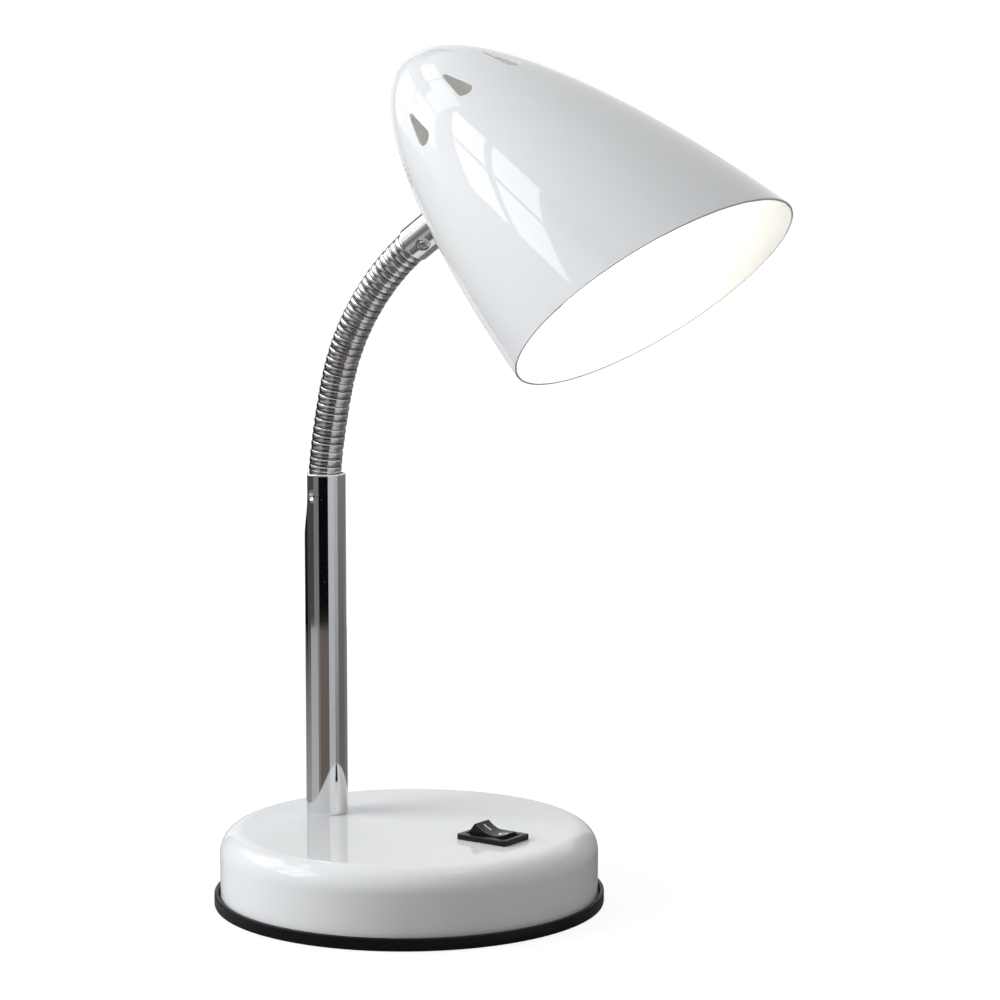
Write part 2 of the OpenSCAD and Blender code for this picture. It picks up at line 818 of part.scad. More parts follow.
module switch_rocker() {
    belly = 3;
    belly_draw = 2;
    boss_l = 4.4;
    boss_depth = 5.4;
    pin_end = 0.6;
    guide_clear = 0.1;
    hollow_z = rocker_top + sqrt(pow(rocker_hollow_r, 2) - pow(rocker_corner, 2));
    color([0.03, 0.03, 0.03])
    at_rocker() difference() {
        union() {
            translate([0, rocker_w / 2, 0]) rotate([90, 0, 0]) linear_extrude(rocker_w) difference() {
                polygon([
                    [-rocker_half, 0], [-rocker_corner, rocker_top], [rocker_corner, rocker_top],
                    [rocker_half, 0], [rocker_half - belly_draw, -belly], [belly_draw - rocker_half, -belly]
                ]);
                translate([0, hollow_z]) circle(r = rocker_hollow_r);
            }
            translate([-boss_l / 2, -boss_l / 2, -boss_depth]) cube([boss_l, boss_l, boss_depth]);
            translate([0, switch_w / 2 - pin_end, 0]) rotate([90, 0, 0])
                cylinder(r = rocker_pin_r, h = switch_w - 2 * pin_end);
        }
        translate([0, 0, -boss_depth - 1])
            cylinder(r = plunger_r + guide_clear, h = boss_depth + 1 - boss_floor);
    }
}

module switch_plunger() {
    color([0.85, 0.8, 0.6])
    at_rocker() translate([0, 0, -plunger_reach]) {
        cylinder(r = plunger_r, h = plunger_shank);
        sphere(r = plunger_r);
    }
}

// Coil spring between the plunger and the top of its bore in the rocker
module switch_spring() {
    turns = 3;
    steps = 12;
    steel_r = 0.14;
    coil_r = plunger_r - steel_r - 0.05;
    end_gap = 0.03;
    low = plunger_shank - plunger_reach + steel_r + end_gap;
    rise = -boss_floor - steel_r - end_gap - low;
    last = turns * steps;
    color([0.7, 0.7, 0.72])
    at_rocker() wire([
        for (i = [0 : last])
            [coil_r * cos(i * 360 / steps), coil_r * sin(i * 360 / steps), low + rise * i / last]
    ], steel_r, [0, 0, 1]);
}

module switch_contact() {
    groove = 0.5;
    color([0.8, 0.7, 0.4])
    translate([switch_front, 0, lever_z]) rotate([0, -contact_tilt, 0]) difference() {
        translate([-lever_l / 2, -lever_w / 2, -lever_t / 2]) cube([lever_l, lever_w, lever_t]);
        translate([0, lever_w, -lever_t]) rotate([90, 0, 0]) cylinder(r = groove, h = 2 * lever_w);
    }
}

// ---------------------------------------------------------------- neck

// Spherical lip around the pivot at its own origin, with a foot that reaches below the pivot
module ball_lip(foot) {
    intersection() {
        sphere(r = ball_r);
        translate([0, 0, -foot]) cylinder(r = ball_r + 1, h = foot + ball_reach);
    }
}

// Half section of a stretch of banded tube, with its inside left solid
module band_section(bands) {
    for (i = [0 : bands - 1]) {
        low = i * (band_w + band_gap);
        polygon([
            [0, low], [neck_r - band_chamfer, low], [neck_r, low + band_chamfer],
            [neck_r, low + band_w - band_chamfer], [neck_r - band_chamfer, low + band_w], [0, low + band_w]
        ]);
    }
    square([groove_r, bands * (band_w + band_gap) - band_gap]);
}

// End of the neck in the stem, with a throat that the first link's edge dips around
module neck_root() {
    rim_gap = 0.1;
    throat_gap = 0.1;
    pivot_h = stem_top + first_pivot_up;
    end = pivot_h - link_gap / 2;
    color([0.72, 0.72, 0.73])
    translate([stem_x, 0, 0]) difference() {
        union() {
            crimped_bar(stem_wall + root_gap, pivot_h - root_len, end);
            crimped_bar(stem_r - ball_r + throat_gap, end - 1, stem_top + 2 * rim_gap);
            translate([0, 0, pivot_h]) ball_lip(first_pivot_up - rim_gap);
        }
        translate([0, 0, pivot_h - root_len - 1]) cylinder(r = neck_bore_r, h = root_len + 10);
    }
}

// Link k of the neck: banded tube with a socket at its foot and a ball lip at its end
module neck_link(k) {
    lip_seat = 1;
    color([0.72, 0.72, 0.73])
    on_neck(k) difference() {
        union() {
            translate([0, 0, link_gap / 2]) rotate_extrude() band_section(bands_n);
            translate([0, 0, link_pitch]) ball_lip(link_gap / 2 + lip_seat);
        }
        sphere(r = socket_r);
        cylinder(r = neck_bore_r, h = link_pitch + 10);
    }
}

module neck_lead() {
    last = links_n + 1;
    start = towards(pivot(1), pivot(2), lead_gap);
    end = towards(pivot(last), pivot(last - 1), lead_gap);
    color([0.92, 0.92, 0.9])
        wire(concat([start], [for (k = [2 : last - 1]) pivot(k)], [end]), lead_r);
}

// ---------------------------------------------------------------- head

// Outer form of the shade, without its rim cut
module shade_form(depth) {
    rotate_extrude()
        polygon(concat([for (s = stations) shade_point(s, depth)], [[0, shade_end]]));
}

module neck_collar() {
    low = link_gap / 2;
    thread_end = 0.3;
    shade_gap = 0.05;
    color([0.8, 0.81, 0.82])
    difference() {
        on_neck(links_n + 1) difference() {
            translate([0, 0, low]) cylinder(r = collar_r, h = wall_up + 1);
            sphere(r = socket_r);
            cylinder(r = neck_bore_r, h = 2 * wall_up);
            translate([0, 0, head_nipple_low - thread_end]) cylinder(r = thread_r, h = wall_up);
            rotate([0, 0, collar_screw_angle])
                translate([neck_bore_r, 0, collar_screw_up]) rotate([0, 90, 0])
                    cylinder(r = collar_screw_r + thread_clear, h = collar_r);
        }
        on_shade() shade_form(-shade_gap);
    }
}

module collar_screw() {
    slot = 0.5;
    low = neck_bore_r + 0.5;
    top = collar_r + collar_screw_out;
    color([0.7, 0.7, 0.72])
    on_neck(links_n + 1) rotate([0, 0, collar_screw_angle]) translate([0, 0, collar_screw_up])
        rotate([0, 90, 0]) difference() {
            translate([0, 0, low]) cylinder(r = collar_screw_r, h = top - low);
            translate([-slot / 2, -2 * collar_screw_r, top - slot])
                cube([slot, 4 * collar_screw_r, 2 * slot]);
        }
}

module head_nipple() {
    color([0.75, 0.66, 0.4])
    on_neck(links_n + 1) translate([0, 0, head_nipple_low])
        ring(nipple_r, nipple_bore_r, head_nipple_top - head_nipple_low);
}

module head_washer() {
    color([0.7, 0.7, 0.72])
    on_neck(links_n + 1) translate([0, 0, washer_up]) ring(seat_washer_r, pass_r, seat_washer_t);
}

module head_lock_washer() {
    color([0.6, 0.6, 0.62])
    on_neck(links_n + 1) translate([0, 0, head_lock_up])
        toothed_washer(lock_r, pass_r, lock_t, lock_teeth);
}

module head_nut() {
    color([0.72, 0.72, 0.74])
    on_neck(links_n + 1) translate([0, 0, head_nut_up]) hex_nut(nut_flats, nut_h, thread_r);
}

// Outline of a vent along x, its narrow end towards the apex
module vent_outline() {
    span = vent_len - vent_r_small - vent_r_big;
    swing = asin((vent_r_big - vent_r_small) / span);
    start = vent_r_small - vent_len / 2;
    narrow = vent_r_small * [-sin(swing), cos(swing)] + [start, 0];
    wide = vent_r_big * [-sin(swing), cos(swing)] + [start + span, 0];
    translate([start, 0]) circle(r = vent_r_small);
    translate([start + span, 0]) circle(r = vent_r_big);
    polygon([narrow, wide, [wide[0], -wide[1]], [narrow[0], -narrow[1]]]);
}

module shade() {
    flare = atan(shade_sq_slope(vent_at) / 2 / shade_r(vent_at));
    reach = 5;
    big = 4 * rim_at;
    color([0.93, 0.94, 0.95])
    difference() {
        on_shade() difference() {
            shade_form(0);
            shade_form(shade_wall);
            translate([0, 0, rim_at]) rotate([0, rim_slant, 0])
                translate([-big / 2, -big / 2, 0]) cube([big, big, big]);
            for (i = [0 : vents_n - 1])
                rotate([0, 0, vent_first + i * vent_step])
                    translate([shade_r(vent_at), 0, vent_at]) rotate([0, flare - 90, 0])
                        translate([0, 0, -reach]) linear_extrude(2 * reach) vent_outline();
        }
        on_neck(links_n + 1) translate([0, 0, wall_up - 3]) cylinder(r = pass_r, h = 8);
    }
}

// Point of the plane y = 0 given across and along the neck, in the shade's own frame
function neck_to_shade(x, z) =
    let (back = z - neck_to_axis)
    [
        x * cos(shade_turn) - back * sin(shade_turn),
        apex_to_neck + x * sin(shade_turn) + back * cos(shade_turn)
    ];

// Meeting of a face square to the neck with a face square to the shade's axis
function bracket_corner(up, at) =
    neck_to_shade((at - apex_to_neck - (up - neck_to_axis) * cos(shade_turn)) / sin(shade_turn), up);

// Strip bent into two legs, one against the shade's wall and one across the shade's axis
module holder_bracket() {
    leg_end = 8;
    color([0.7, 0.71, 0.73])
    difference() {
        on_shade() {
            translate([0, bracket_w / 2, 0]) rotate([90, 0, 0]) linear_extrude(bracket_w) polygon([
                [0, bracket_at],
                bracket_corner(bracket_up, bracket_at),
                neck_to_shade(leg_end, bracket_up),
                neck_to_shade(leg_end, bracket_up + bracket_t),
                bracket_corner(bracket_up + bracket_t, holder_back),
                [0, holder_back]
            ]);
            translate([0, 0, bracket_at]) cylinder(r = bracket_w / 2, h = bracket_t);
        }
        on_neck(links_n + 1) translate([0, 0, bracket_up - 1]) cylinder(r = pass_r, h = bracket_t + 2);
        on_shade() translate([0, 0, bracket_at - 1]) cylinder(r = pass_r, h = bracket_t + 2);
    }
}

module holder_nipple() {
    color([0.75, 0.66, 0.4])
    on_shade() translate([0, 0, bracket_at - nut_h - holder_nipple_out])
        ring(nipple_r, nipple_bore_r, holder_nipple_len);
}

module holder_nut() {
    color([0.72, 0.72, 0.74])
    on_shade() translate([0, 0, bracket_at - nut_h]) hex_nut(nut_flats, nut_h, thread_r);
}

module holder_cap() {
    dome = 6;
    core_clear = 0.4;
    color([0.82, 0.78, 0.72])
    on_shade() translate([0, 0, holder_back]) difference() {
        rotate_extrude() rotate_section(cap_len, holder_r, dome);
        translate([0, 0, dome]) cylinder(r = holder_r - holder_wall, h = cap_len);
        translate([0, 0, -1]) cylinder(r = thread_r, h = dome + 2);
        for (side = [-1, 1])
            translate([holder_r - 2 * holder_wall, side * core_entry_y, core_entry_z - holder_back])
                rotate([0, 90, 0]) cylinder(r = core_r + core_clear, h = 3 * holder_wall);
    }
}

// Half section of a turned cap whose closed end, at zero, is rounded
module rotate_section(h, r, round_r) {
    intersection() {
        union() {
            translate([0, round_r]) square([r, h - round_r]);
            square([r - round_r, h]);
            translate([r - round_r, round_r]) circle(r = round_r);
        }
        square([r, h]);
    }
}

module holder_skirt() {
    rim = 4;
    contact_hole_r = 2.2;
    pole_gap = 0.1;
    color([0.84, 0.8, 0.74])
    on_shade() translate([0, 0, skirt_back]) difference() {
        cylinder(r = holder_r, h = skirt_len);
        translate([0, 0, holder_shoulder]) cylinder(r = holder_r - rim, h = skirt_len);
        translate([0, 0, holder_floor]) cylinder(r = shell_r + thread_clear, h = skirt_len);
        translate([0, 0, -1]) cylinder(r = contact_hole_r, h = holder_floor + 2);
        for (side = [-1, 1])
            translate([0, side * pole_y, -1])
                cylinder(r = pole_r + pole_gap, h = holder_floor + 1 + pole_gap);
    }
}

module holder_screw_shell() {
    color([0.82, 0.7, 0.38])
    on_shade() translate([0, 0, skirt_back + holder_floor])
        ring(shell_r, shell_r - shell_wall, screw_shell_len);
}

// Strip across the lampholder's floor with a rivet through it
module holder_contact() {
    strip_l = 9;
    strip_w = 3;
    rivet_r = 1.4;
    rivet_out = 2;
    color([0.82, 0.7, 0.38])
    on_shade() translate([0, 0, skirt_back + holder_floor]) {
        translate([-strip_l / 2, -strip_w / 2, 0]) cube([strip_l, strip_w, contact_t]);
        translate([0, 0, -holder_floor - rivet_out]) cylinder(r = rivet_r, h = holder_floor + rivet_out);
    }
}

// Wire clamps behind the lampholder's floor, with their pins through it
module holder_terminals() {
    stand_off = 1;
    depth = 3;
    color([0.82, 0.7, 0.38])
    on_shade() for (side = [-1, 1])
        translate([0, side * pole_y, skirt_back - stand_off]) {
            cylinder(r = pole_r, h = stand_off + holder_floor);
            translate([-pole_block / 2, -pole_block / 2, -depth]) cube([pole_block, pole_block, depth]);
        }
}

module head_leads() {
    sheath_out = 2;
    sheath_end = head_nipple_top + sheath_out;
    core_start = neck_to_shade(0, sheath_end + lead_gap);
    core_split = 1.1;
    core_reach = 2;
    clamp_z = skirt_back - 2.5;
    clamp_x = pole_block / 2;
    color([0.92, 0.92, 0.9]) {
        on_neck(links_n + 1) wire([[0, 0, 0], [0, 0, sheath_end]], lead_r);
        on_shade() for (side = [-1, 1])
            wire([
                [core_start[0], side * core_split, core_start[1]],
                [holder_r + core_reach, side * core_entry_y, core_entry_z],
                [holder_r - 2 * core_reach, side * core_entry_y, core_entry_z],
                [clamp_x + core_reach, side * pole_y, clamp_z],
                [clamp_x, side * pole_y, clamp_z]
            ], core_r);
    }
}

// ---------------------------------------------------------------- bulb

module bulb_cap() {
    turns = 4;
    pitch = 2.8;
    lead_in = 1;
    color([0.72, 0.72, 0.74])
    on_shade() translate([0, 0, bulb_cap_back]) {
        cylinder(r = bulb_core_r, h = bulb_cap_len);
        for (i = [0 : turns - 1])
            translate([0, 0, lead_in + i * pitch]) {
                cylinder(r1 = bulb_core_r, r2 = bulb_cap_r, h = pitch / 2);
                translate([0, 0, pitch / 2])
                    cylinder(r1 = bulb_cap_r, r2 = bulb_core_r, h = pitch / 2);
            }
    }
}

module bulb_insulator() {
    tip_side_r = 3;
    color([0.06, 0.06, 0.07])
    on_shade() translate([0, 0, tip_back + bulb_tip_h])
        cylinder(r1 = tip_side_r, r2 = bulb_core_r, h = bulb_insulator_h);
}

module bulb_tip() {
    color([0.75, 0.75, 0.77])
    on_shade() translate([0, 0, tip_back]) cylinder(r = 2.2, h = bulb_tip_h);
}

module bulb_collar() {
    step = 1.2;
    low = bulb_cap_back + bulb_cap_len;
    top_r = sqrt(1 - globe_cut * globe_cut) * globe_r;
    color([0.93, 0.93, 0.92])
    on_shade() translate([0, 0, low])
        cylinder(r1 = bulb_cap_r + step, r2 = top_r, h = globe_flat - low);
}

module bulb_globe() {
    color([0.97, 0.97, 0.95])
    on_shade() intersection() {
        translate([0, 0, globe_centre]) difference() {
            sphere(r = globe_r);
            sphere(r = globe_r - globe_wall);
        }
        translate([0, 0, globe_flat]) cylinder(r = globe_r + 1, h = 2 * globe_r);
    }
}

foot_pad();
base_tray();
base_shell();
base_ballast();
tray_screws();
cord_gland();
stem_tube();
stem_plug();
stem_nipple();
stem_washer();
stem_lock_washer();
stem_nut();
terminal_block();
terminal_inserts();
terminal_screws();
stem_lead();
switch_leads();
switch_housing();
switch_terminals();
switch_rocker();
switch_plunger();
switch_spring();
switch_contact();
neck_root();
neck_link(1);  // neck_link_01
neck_link(2);  // neck_link_02
neck_link(3);  // neck_link_03
neck_link(4);  // neck_link_04
neck_link(5);  // neck_link_05
neck_link(6);  // neck_link_06
neck_link(7);  // neck_link_07
neck_link(8);  // neck_link_08
neck_link(9);  // neck_link_09
neck_link(10);  // neck_link_10
neck_link(11);  // neck_link_11
neck_lead();
neck_collar();
collar_screw();
head_nipple();
head_washer();
head_lock_washer();
head_nut();
shade();
holder_bracket();
holder_nipple();
holder_nut();
holder_cap();
holder_skirt();
holder_screw_shell();
holder_contact();
holder_terminals();
head_leads();
bulb_cap();
bulb_insulator();
bulb_tip();
bulb_collar();
bulb_globe();
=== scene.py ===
"""Looks of a gooseneck desk lamp.

It has an enamelled base and bell shade, a chromed stem and neck, and a black rocker switch.
Sizes are in millimetres in the classes and in metres on the meshes. +X is forward, from the stem
towards the switch, and +Z is up. Each sub-assembly is a class that builds its pieces and dresses
them, and the CAD nodes whose form is right keep it and get a finish.
"""

import json
import logging
import math
from abc import ABC, abstractmethod
from collections.abc import Callable, Iterable, Sequence
from dataclasses import dataclass
from enum import Enum

import bmesh
import bpy
from mathutils import Matrix, Vector

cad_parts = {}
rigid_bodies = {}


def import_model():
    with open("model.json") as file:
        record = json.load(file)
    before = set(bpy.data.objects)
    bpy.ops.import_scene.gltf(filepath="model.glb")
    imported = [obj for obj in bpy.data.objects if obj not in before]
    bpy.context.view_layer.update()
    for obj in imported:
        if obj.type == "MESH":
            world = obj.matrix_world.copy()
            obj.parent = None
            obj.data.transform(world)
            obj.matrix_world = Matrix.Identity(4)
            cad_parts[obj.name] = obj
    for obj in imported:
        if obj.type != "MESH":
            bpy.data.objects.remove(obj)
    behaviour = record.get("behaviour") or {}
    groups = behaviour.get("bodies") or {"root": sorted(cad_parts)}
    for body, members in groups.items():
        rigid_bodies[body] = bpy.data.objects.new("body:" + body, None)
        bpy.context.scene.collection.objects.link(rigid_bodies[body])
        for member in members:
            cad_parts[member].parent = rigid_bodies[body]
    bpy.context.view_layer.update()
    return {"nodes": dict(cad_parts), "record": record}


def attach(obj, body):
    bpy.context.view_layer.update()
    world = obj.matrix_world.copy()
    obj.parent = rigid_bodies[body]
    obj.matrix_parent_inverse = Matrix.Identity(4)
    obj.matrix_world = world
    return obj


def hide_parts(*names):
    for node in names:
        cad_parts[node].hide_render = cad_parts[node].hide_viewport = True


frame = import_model()
MM = 0.001
ROUNDS = 40  # rounds of each search for a place on the shade
QUARTER = math.pi / 2

log = logging.getLogger("desk_lamp")

Colour = tuple[float, float, float]
Profile = Sequence[tuple[float, float]]


# ------------------------------------------------------------------ finishes


class Slot(Enum):
    """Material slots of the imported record."""

    ENAMEL = "white_enamel"
    TRAY = "tray_black"
    FOAM = "pad_foam"
    CASTING = "cast_iron"
    ZINC = "zinc_steel"
    CHROME = "chrome"
    NECK = "neck_chrome"
    BRASS = "brass"
    SWITCH = "switch_black"
    GLAND = "gland_black"
    BLOCK = "block_white"
    LEAD = "lead_white"
    CORE = "lead_brown"
    HOLDER = "holder_beige"
    BULB = "bulb_white"
    OPAL = "bulb_opal"
    CAP = "cap_nickel"
    INSULATOR = "insulator_black"


class NodeBench:
    """Builds one node material around a Principled shader."""

    def __init__(self, name: str) -> None:
        """Starts a material.

        Args:
            name: Name of the material.
        """
        self.material = bpy.data.materials.new(name)
        self.material.use_nodes = True
        self.tree = self.material.node_tree
        self.shader = self.tree.nodes["Principled BSDF"]

    def add(self, kind: str, **settings: object) -> bpy.types.Node:
        """Adds a node.

        Args:
            kind: Blender's name of the node type.
            **settings: Properties of the node.

        Returns:
            The new node.
        """
        node = self.tree.nodes.new(kind)
        for key, value in settings.items():
            setattr(node, key, value)
        return node

    def link(self, start: bpy.types.NodeSocket, end: bpy.types.NodeSocket) -> None:
        """Links two sockets."""
        self.tree.links.new(start, end)

    def here(self, stretch: Sequence[float] = (1.0, 1.0, 1.0)) -> bpy.types.NodeSocket:
        """Gives the place on the piece, in metres.

        Args:
            stretch: Factors on the three axes.

        Returns:
            Vector socket.
        """
        place = self.add("ShaderNodeTexCoord")
        mapping = self.add("ShaderNodeMapping")
        mapping.inputs["Scale"].default_value = stretch
        self.link(place.outputs["Object"], mapping.inputs["Vector"])
        return mapping.outputs["Vector"]

    def noise(self, size: float, detail: float = 3.0,
              where: bpy.types.NodeSocket | None = None) -> bpy.types.NodeSocket:
        """Adds soft noise.

        Args:
            size: Size of its patches in millimetres.
            detail: Number of finer layers.
            where: Place to read it at, or the piece's own place.

        Returns:
            Value socket from 0 to 1.
        """
        texture = self.add("ShaderNodeTexNoise")
        texture.inputs["Scale"].default_value = 1 / (size * MM)
        texture.inputs["Detail"].default_value = detail
        self.link(where or self.here(), texture.inputs["Vector"])
        return texture.outputs["Fac"]

    def cells(self, size: float, where: bpy.types.NodeSocket | None = None) -> bpy.types.NodeSocket:
        """Adds cells, for foam and pits.

        Args:
            size: Size of a cell in millimetres.
            where: Place to read it at, or the piece's own place.

        Returns:
            Socket of the distance from the nearest cell's middle.
        """
        texture = self.add("ShaderNodeTexVoronoi")
        texture.inputs["Scale"].default_value = 1 / (size * MM)
        self.link(where or self.here(), texture.inputs["Vector"])
        return texture.outputs["Distance"]

    def spread(self, value: bpy.types.NodeSocket, source: tuple[float, float],
               target: tuple[float, float]) -> bpy.types.NodeSocket:
        """Maps a range of values to another, and clamps it.

        Args:
            value: Socket to map.
            source: Range of the values.
            target: Range of the result.

        Returns:
            Value socket.
        """
        node = self.add("ShaderNodeMapRange")
        node.inputs["From Min"].default_value, node.inputs["From Max"].default_value = source
        node.inputs["To Min"].default_value, node.inputs["To Max"].default_value = target
        self.link(value, node.inputs["Value"])
        return node.outputs["Result"]

    def blend(self, share: bpy.types.NodeSocket, first: Colour | bpy.types.NodeSocket,
              second: Colour) -> bpy.types.NodeSocket:
        """Mixes two colours.

        Args:
            share: Socket of the second colour's share.
            first: Colour or colour socket where the share is 0.
            second: Colour where the share is 1.

        Returns:
            Colour socket.
        """
        node = self.add("ShaderNodeMix", data_type="RGBA")
        self.link(share, node.inputs["Factor"])
        if isinstance(first, bpy.types.NodeSocket):
            self.link(first, node.inputs["A"])
        else:
            node.inputs["A"].default_value = (*first, 1.0)
        node.inputs["B"].default_value = (*second, 1.0)
        return node.outputs["Result"]

    def relief(self, height: bpy.types.NodeSocket, depth: float,
               under: bpy.types.NodeSocket | None = None) -> bpy.types.NodeSocket:
        """Adds a bump.

        Args:
            height: Socket of the height, from 0 to 1.
            depth: Height of the bump in millimetres.
            under: Normal of a bump that lies under this one.

        Returns:
            Normal socket.
        """
        node = self.add("ShaderNodeBump")
        node.inputs["Strength"].default_value = 1.0
        node.inputs["Distance"].default_value = depth * MM
        self.link(height, node.inputs["Height"])
        if under is not None:
            self.link(under, node.inputs["Normal"])
        return node.outputs["Normal"]


@dataclass(frozen=True)
class Finish:
    """Plain finish: a colour that drifts, a gloss that drifts and a grain."""

    slot: Slot
    pale: Colour
    dark: Colour
    patch: float = 20.0
    gloss: tuple[float, float] = (0.3, 0.4)
    gloss_patch: float = 8.0
    grain: float = 0.6
    depth: float = 0.004
    metal: float = 0.0
    specular: float = 0.5

    def material(self) -> bpy.types.Material:
        """Builds the finish's material."""
        bench = NodeBench(self.slot.value)
        shader = bench.shader.inputs
        shader["Metallic"].default_value = self.metal
        shader["Specular IOR Level"].default_value = self.specular
        bench.link(self.colour(bench), shader["Base Color"])
        bench.link(self.roughness(bench), shader["Roughness"])
        bench.link(self.normal(bench), shader["Normal"])
        self.extras(bench)
        return bench.material

    def colour(self, bench: NodeBench) -> bpy.types.NodeSocket:
        """Gives the base colour's socket."""
        drift = bench.spread(bench.noise(self.patch), (0.3, 0.7), (0.0, 1.0))
        return bench.blend(drift, self.dark, self.pale)

    def roughness(self, bench: NodeBench) -> bpy.types.NodeSocket:
        """Gives the roughness socket."""
        return bench.spread(bench.noise(self.gloss_patch, 5.0), (0.3, 0.7), self.gloss)

    def normal(self, bench: NodeBench) -> bpy.types.NodeSocket:
        """Gives the normal socket."""
        return bench.relief(bench.noise(self.grain, 4.0), self.depth)

    def extras(self, bench: NodeBench) -> None:
        """Sets what only some finishes have."""


@dataclass(frozen=True)
class Enamel(Finish):
    """Stove enamel: a glossy coat over a faint orange peel."""

    peel: float = 9.0
    peel_depth: float = 0.006

    def normal(self, bench: NodeBench) -> bpy.types.NodeSocket:
        """Gives the normal socket, with the slow waves of the coat under its fine peel."""
        waves = bench.relief(bench.noise(self.peel, 1.0), self.peel_depth)
        return bench.relief(bench.noise(self.grain, 2.0), self.depth, waves)


@dataclass(frozen=True)
class Chrome(Finish):
    """Plated tube: slight waves of the polishing, and pits in the plating."""

    wave: float = 14.0
    wave_depth: float = 0.02
    pit: float = 3.0
    pit_r: float = 0.07
    pit_colour: Colour = (0.25, 0.24, 0.23)
    along: float = 0.12

    def pits(self, bench: NodeBench) -> bpy.types.NodeSocket:
        """Gives the share of a pit at each place."""
        return bench.spread(bench.cells(self.pit), (self.pit_r * 0.5, self.pit_r), (1.0, 0.0))

    def colour(self, bench: NodeBench) -> bpy.types.NodeSocket:
        """Gives the base colour's socket, darker in the pits."""
        return bench.blend(self.pits(bench), super().colour(bench), self.pit_colour)

    def normal(self, bench: NodeBench) -> bpy.types.NodeSocket:
        """Gives the normal socket, with waves drawn out along the tube."""
        along = bench.here((1.0, 1.0, self.along))
        waves = bench.relief(bench.noise(self.wave, 1.0, along), self.wave_depth)
        return bench.relief(self.pits(bench), -self.depth, waves)


@dataclass(frozen=True)
class GroovedChrome(Chrome):
    """Plated neck whose grooves, marked by the attribute groove, get painted shade and a duller
    gloss.
    """

    # painted shade: dark colour laid in the grooves between the bands, where shade falls
    painted_groove_shade: Colour = (0.03, 0.029, 0.03)
    groove_gloss: float = 0.55

    def groove(self, bench: NodeBench) -> bpy.types.NodeSocket:
        """Gives the share of painted shade in the grooves at each place."""
        return bench.add("ShaderNodeAttribute", attribute_name="groove").outputs["Fac"]

    def colour(self, bench: NodeBench) -> bpy.types.NodeSocket:
        """Gives the base colour's socket, darkened by painted shade in the grooves."""
        return bench.blend(self.groove(bench), super().colour(bench), self.painted_groove_shade)

    def roughness(self, bench: NodeBench) -> bpy.types.NodeSocket:
        """Gives the roughness socket, dull in the grooves."""
        node = bench.add("ShaderNodeMix", data_type="FLOAT")
        bench.link(self.groove(bench), node.inputs["Factor"])
        bench.link(super().roughness(bench), node.inputs["A"])
        node.inputs["B"].default_value = self.groove_gloss
        return node.outputs["Result"]


@dataclass(frozen=True)
class FoamRubber(Finish):
    """Closed-cell foam with open cells at its cut face."""

    def normal(self, bench: NodeBench) -> bpy.types.NodeSocket:
        """Gives the normal socket, from cells."""
        return bench.relief(bench.cells(self.grain), self.depth)


@dataclass(frozen=True)
class Moulding(Finish):
    """Moulded plastic with the fine texture of a spark-eroded tool."""

    flow: float = 12.0

    def normal(self, bench: NodeBench) -> bpy.types.NodeSocket:
        """Gives the normal socket, with shallow sink marks under the texture."""
        sinks = bench.relief(bench.noise(self.flow, 1.0), self.depth)
        return bench.relief(bench.noise(self.grain, 6.0), self.depth, sinks)


@dataclass(frozen=True)
class PlatedSteel(Finish):
    """Plated or bare metal with fine scratches."""

    across: float = 0.12

    def roughness(self, bench: NodeBench) -> bpy.types.NodeSocket:
        """Gives the roughness socket, from scratches drawn out sideways."""
        scratches = bench.noise(self.grain, 8.0, bench.here((1.0, self.across, 1.0)))
        return bench.spread(scratches, (0.35, 0.65), self.gloss)


@dataclass(frozen=True)
class OpalGlass(Finish):
    """Opal glass that is lit from inside, slightly unevenly."""

    glow: Colour = (1.0, 0.93, 0.82)
    strength: float = 1.0
    dimmest: float = 0.92

    def extras(self, bench: NodeBench) -> None:
        """Lights the glass."""
        shader = bench.shader.inputs
        shader["Emission Color"].default_value = (*self.glow, 1.0)
        drift = bench.noise(self.patch, 1.0)
        low, high = self.dimmest * self.strength, self.strength
        bench.link(bench.spread(drift, (0.3, 0.7), (low, high)), shader["Emission Strength"])


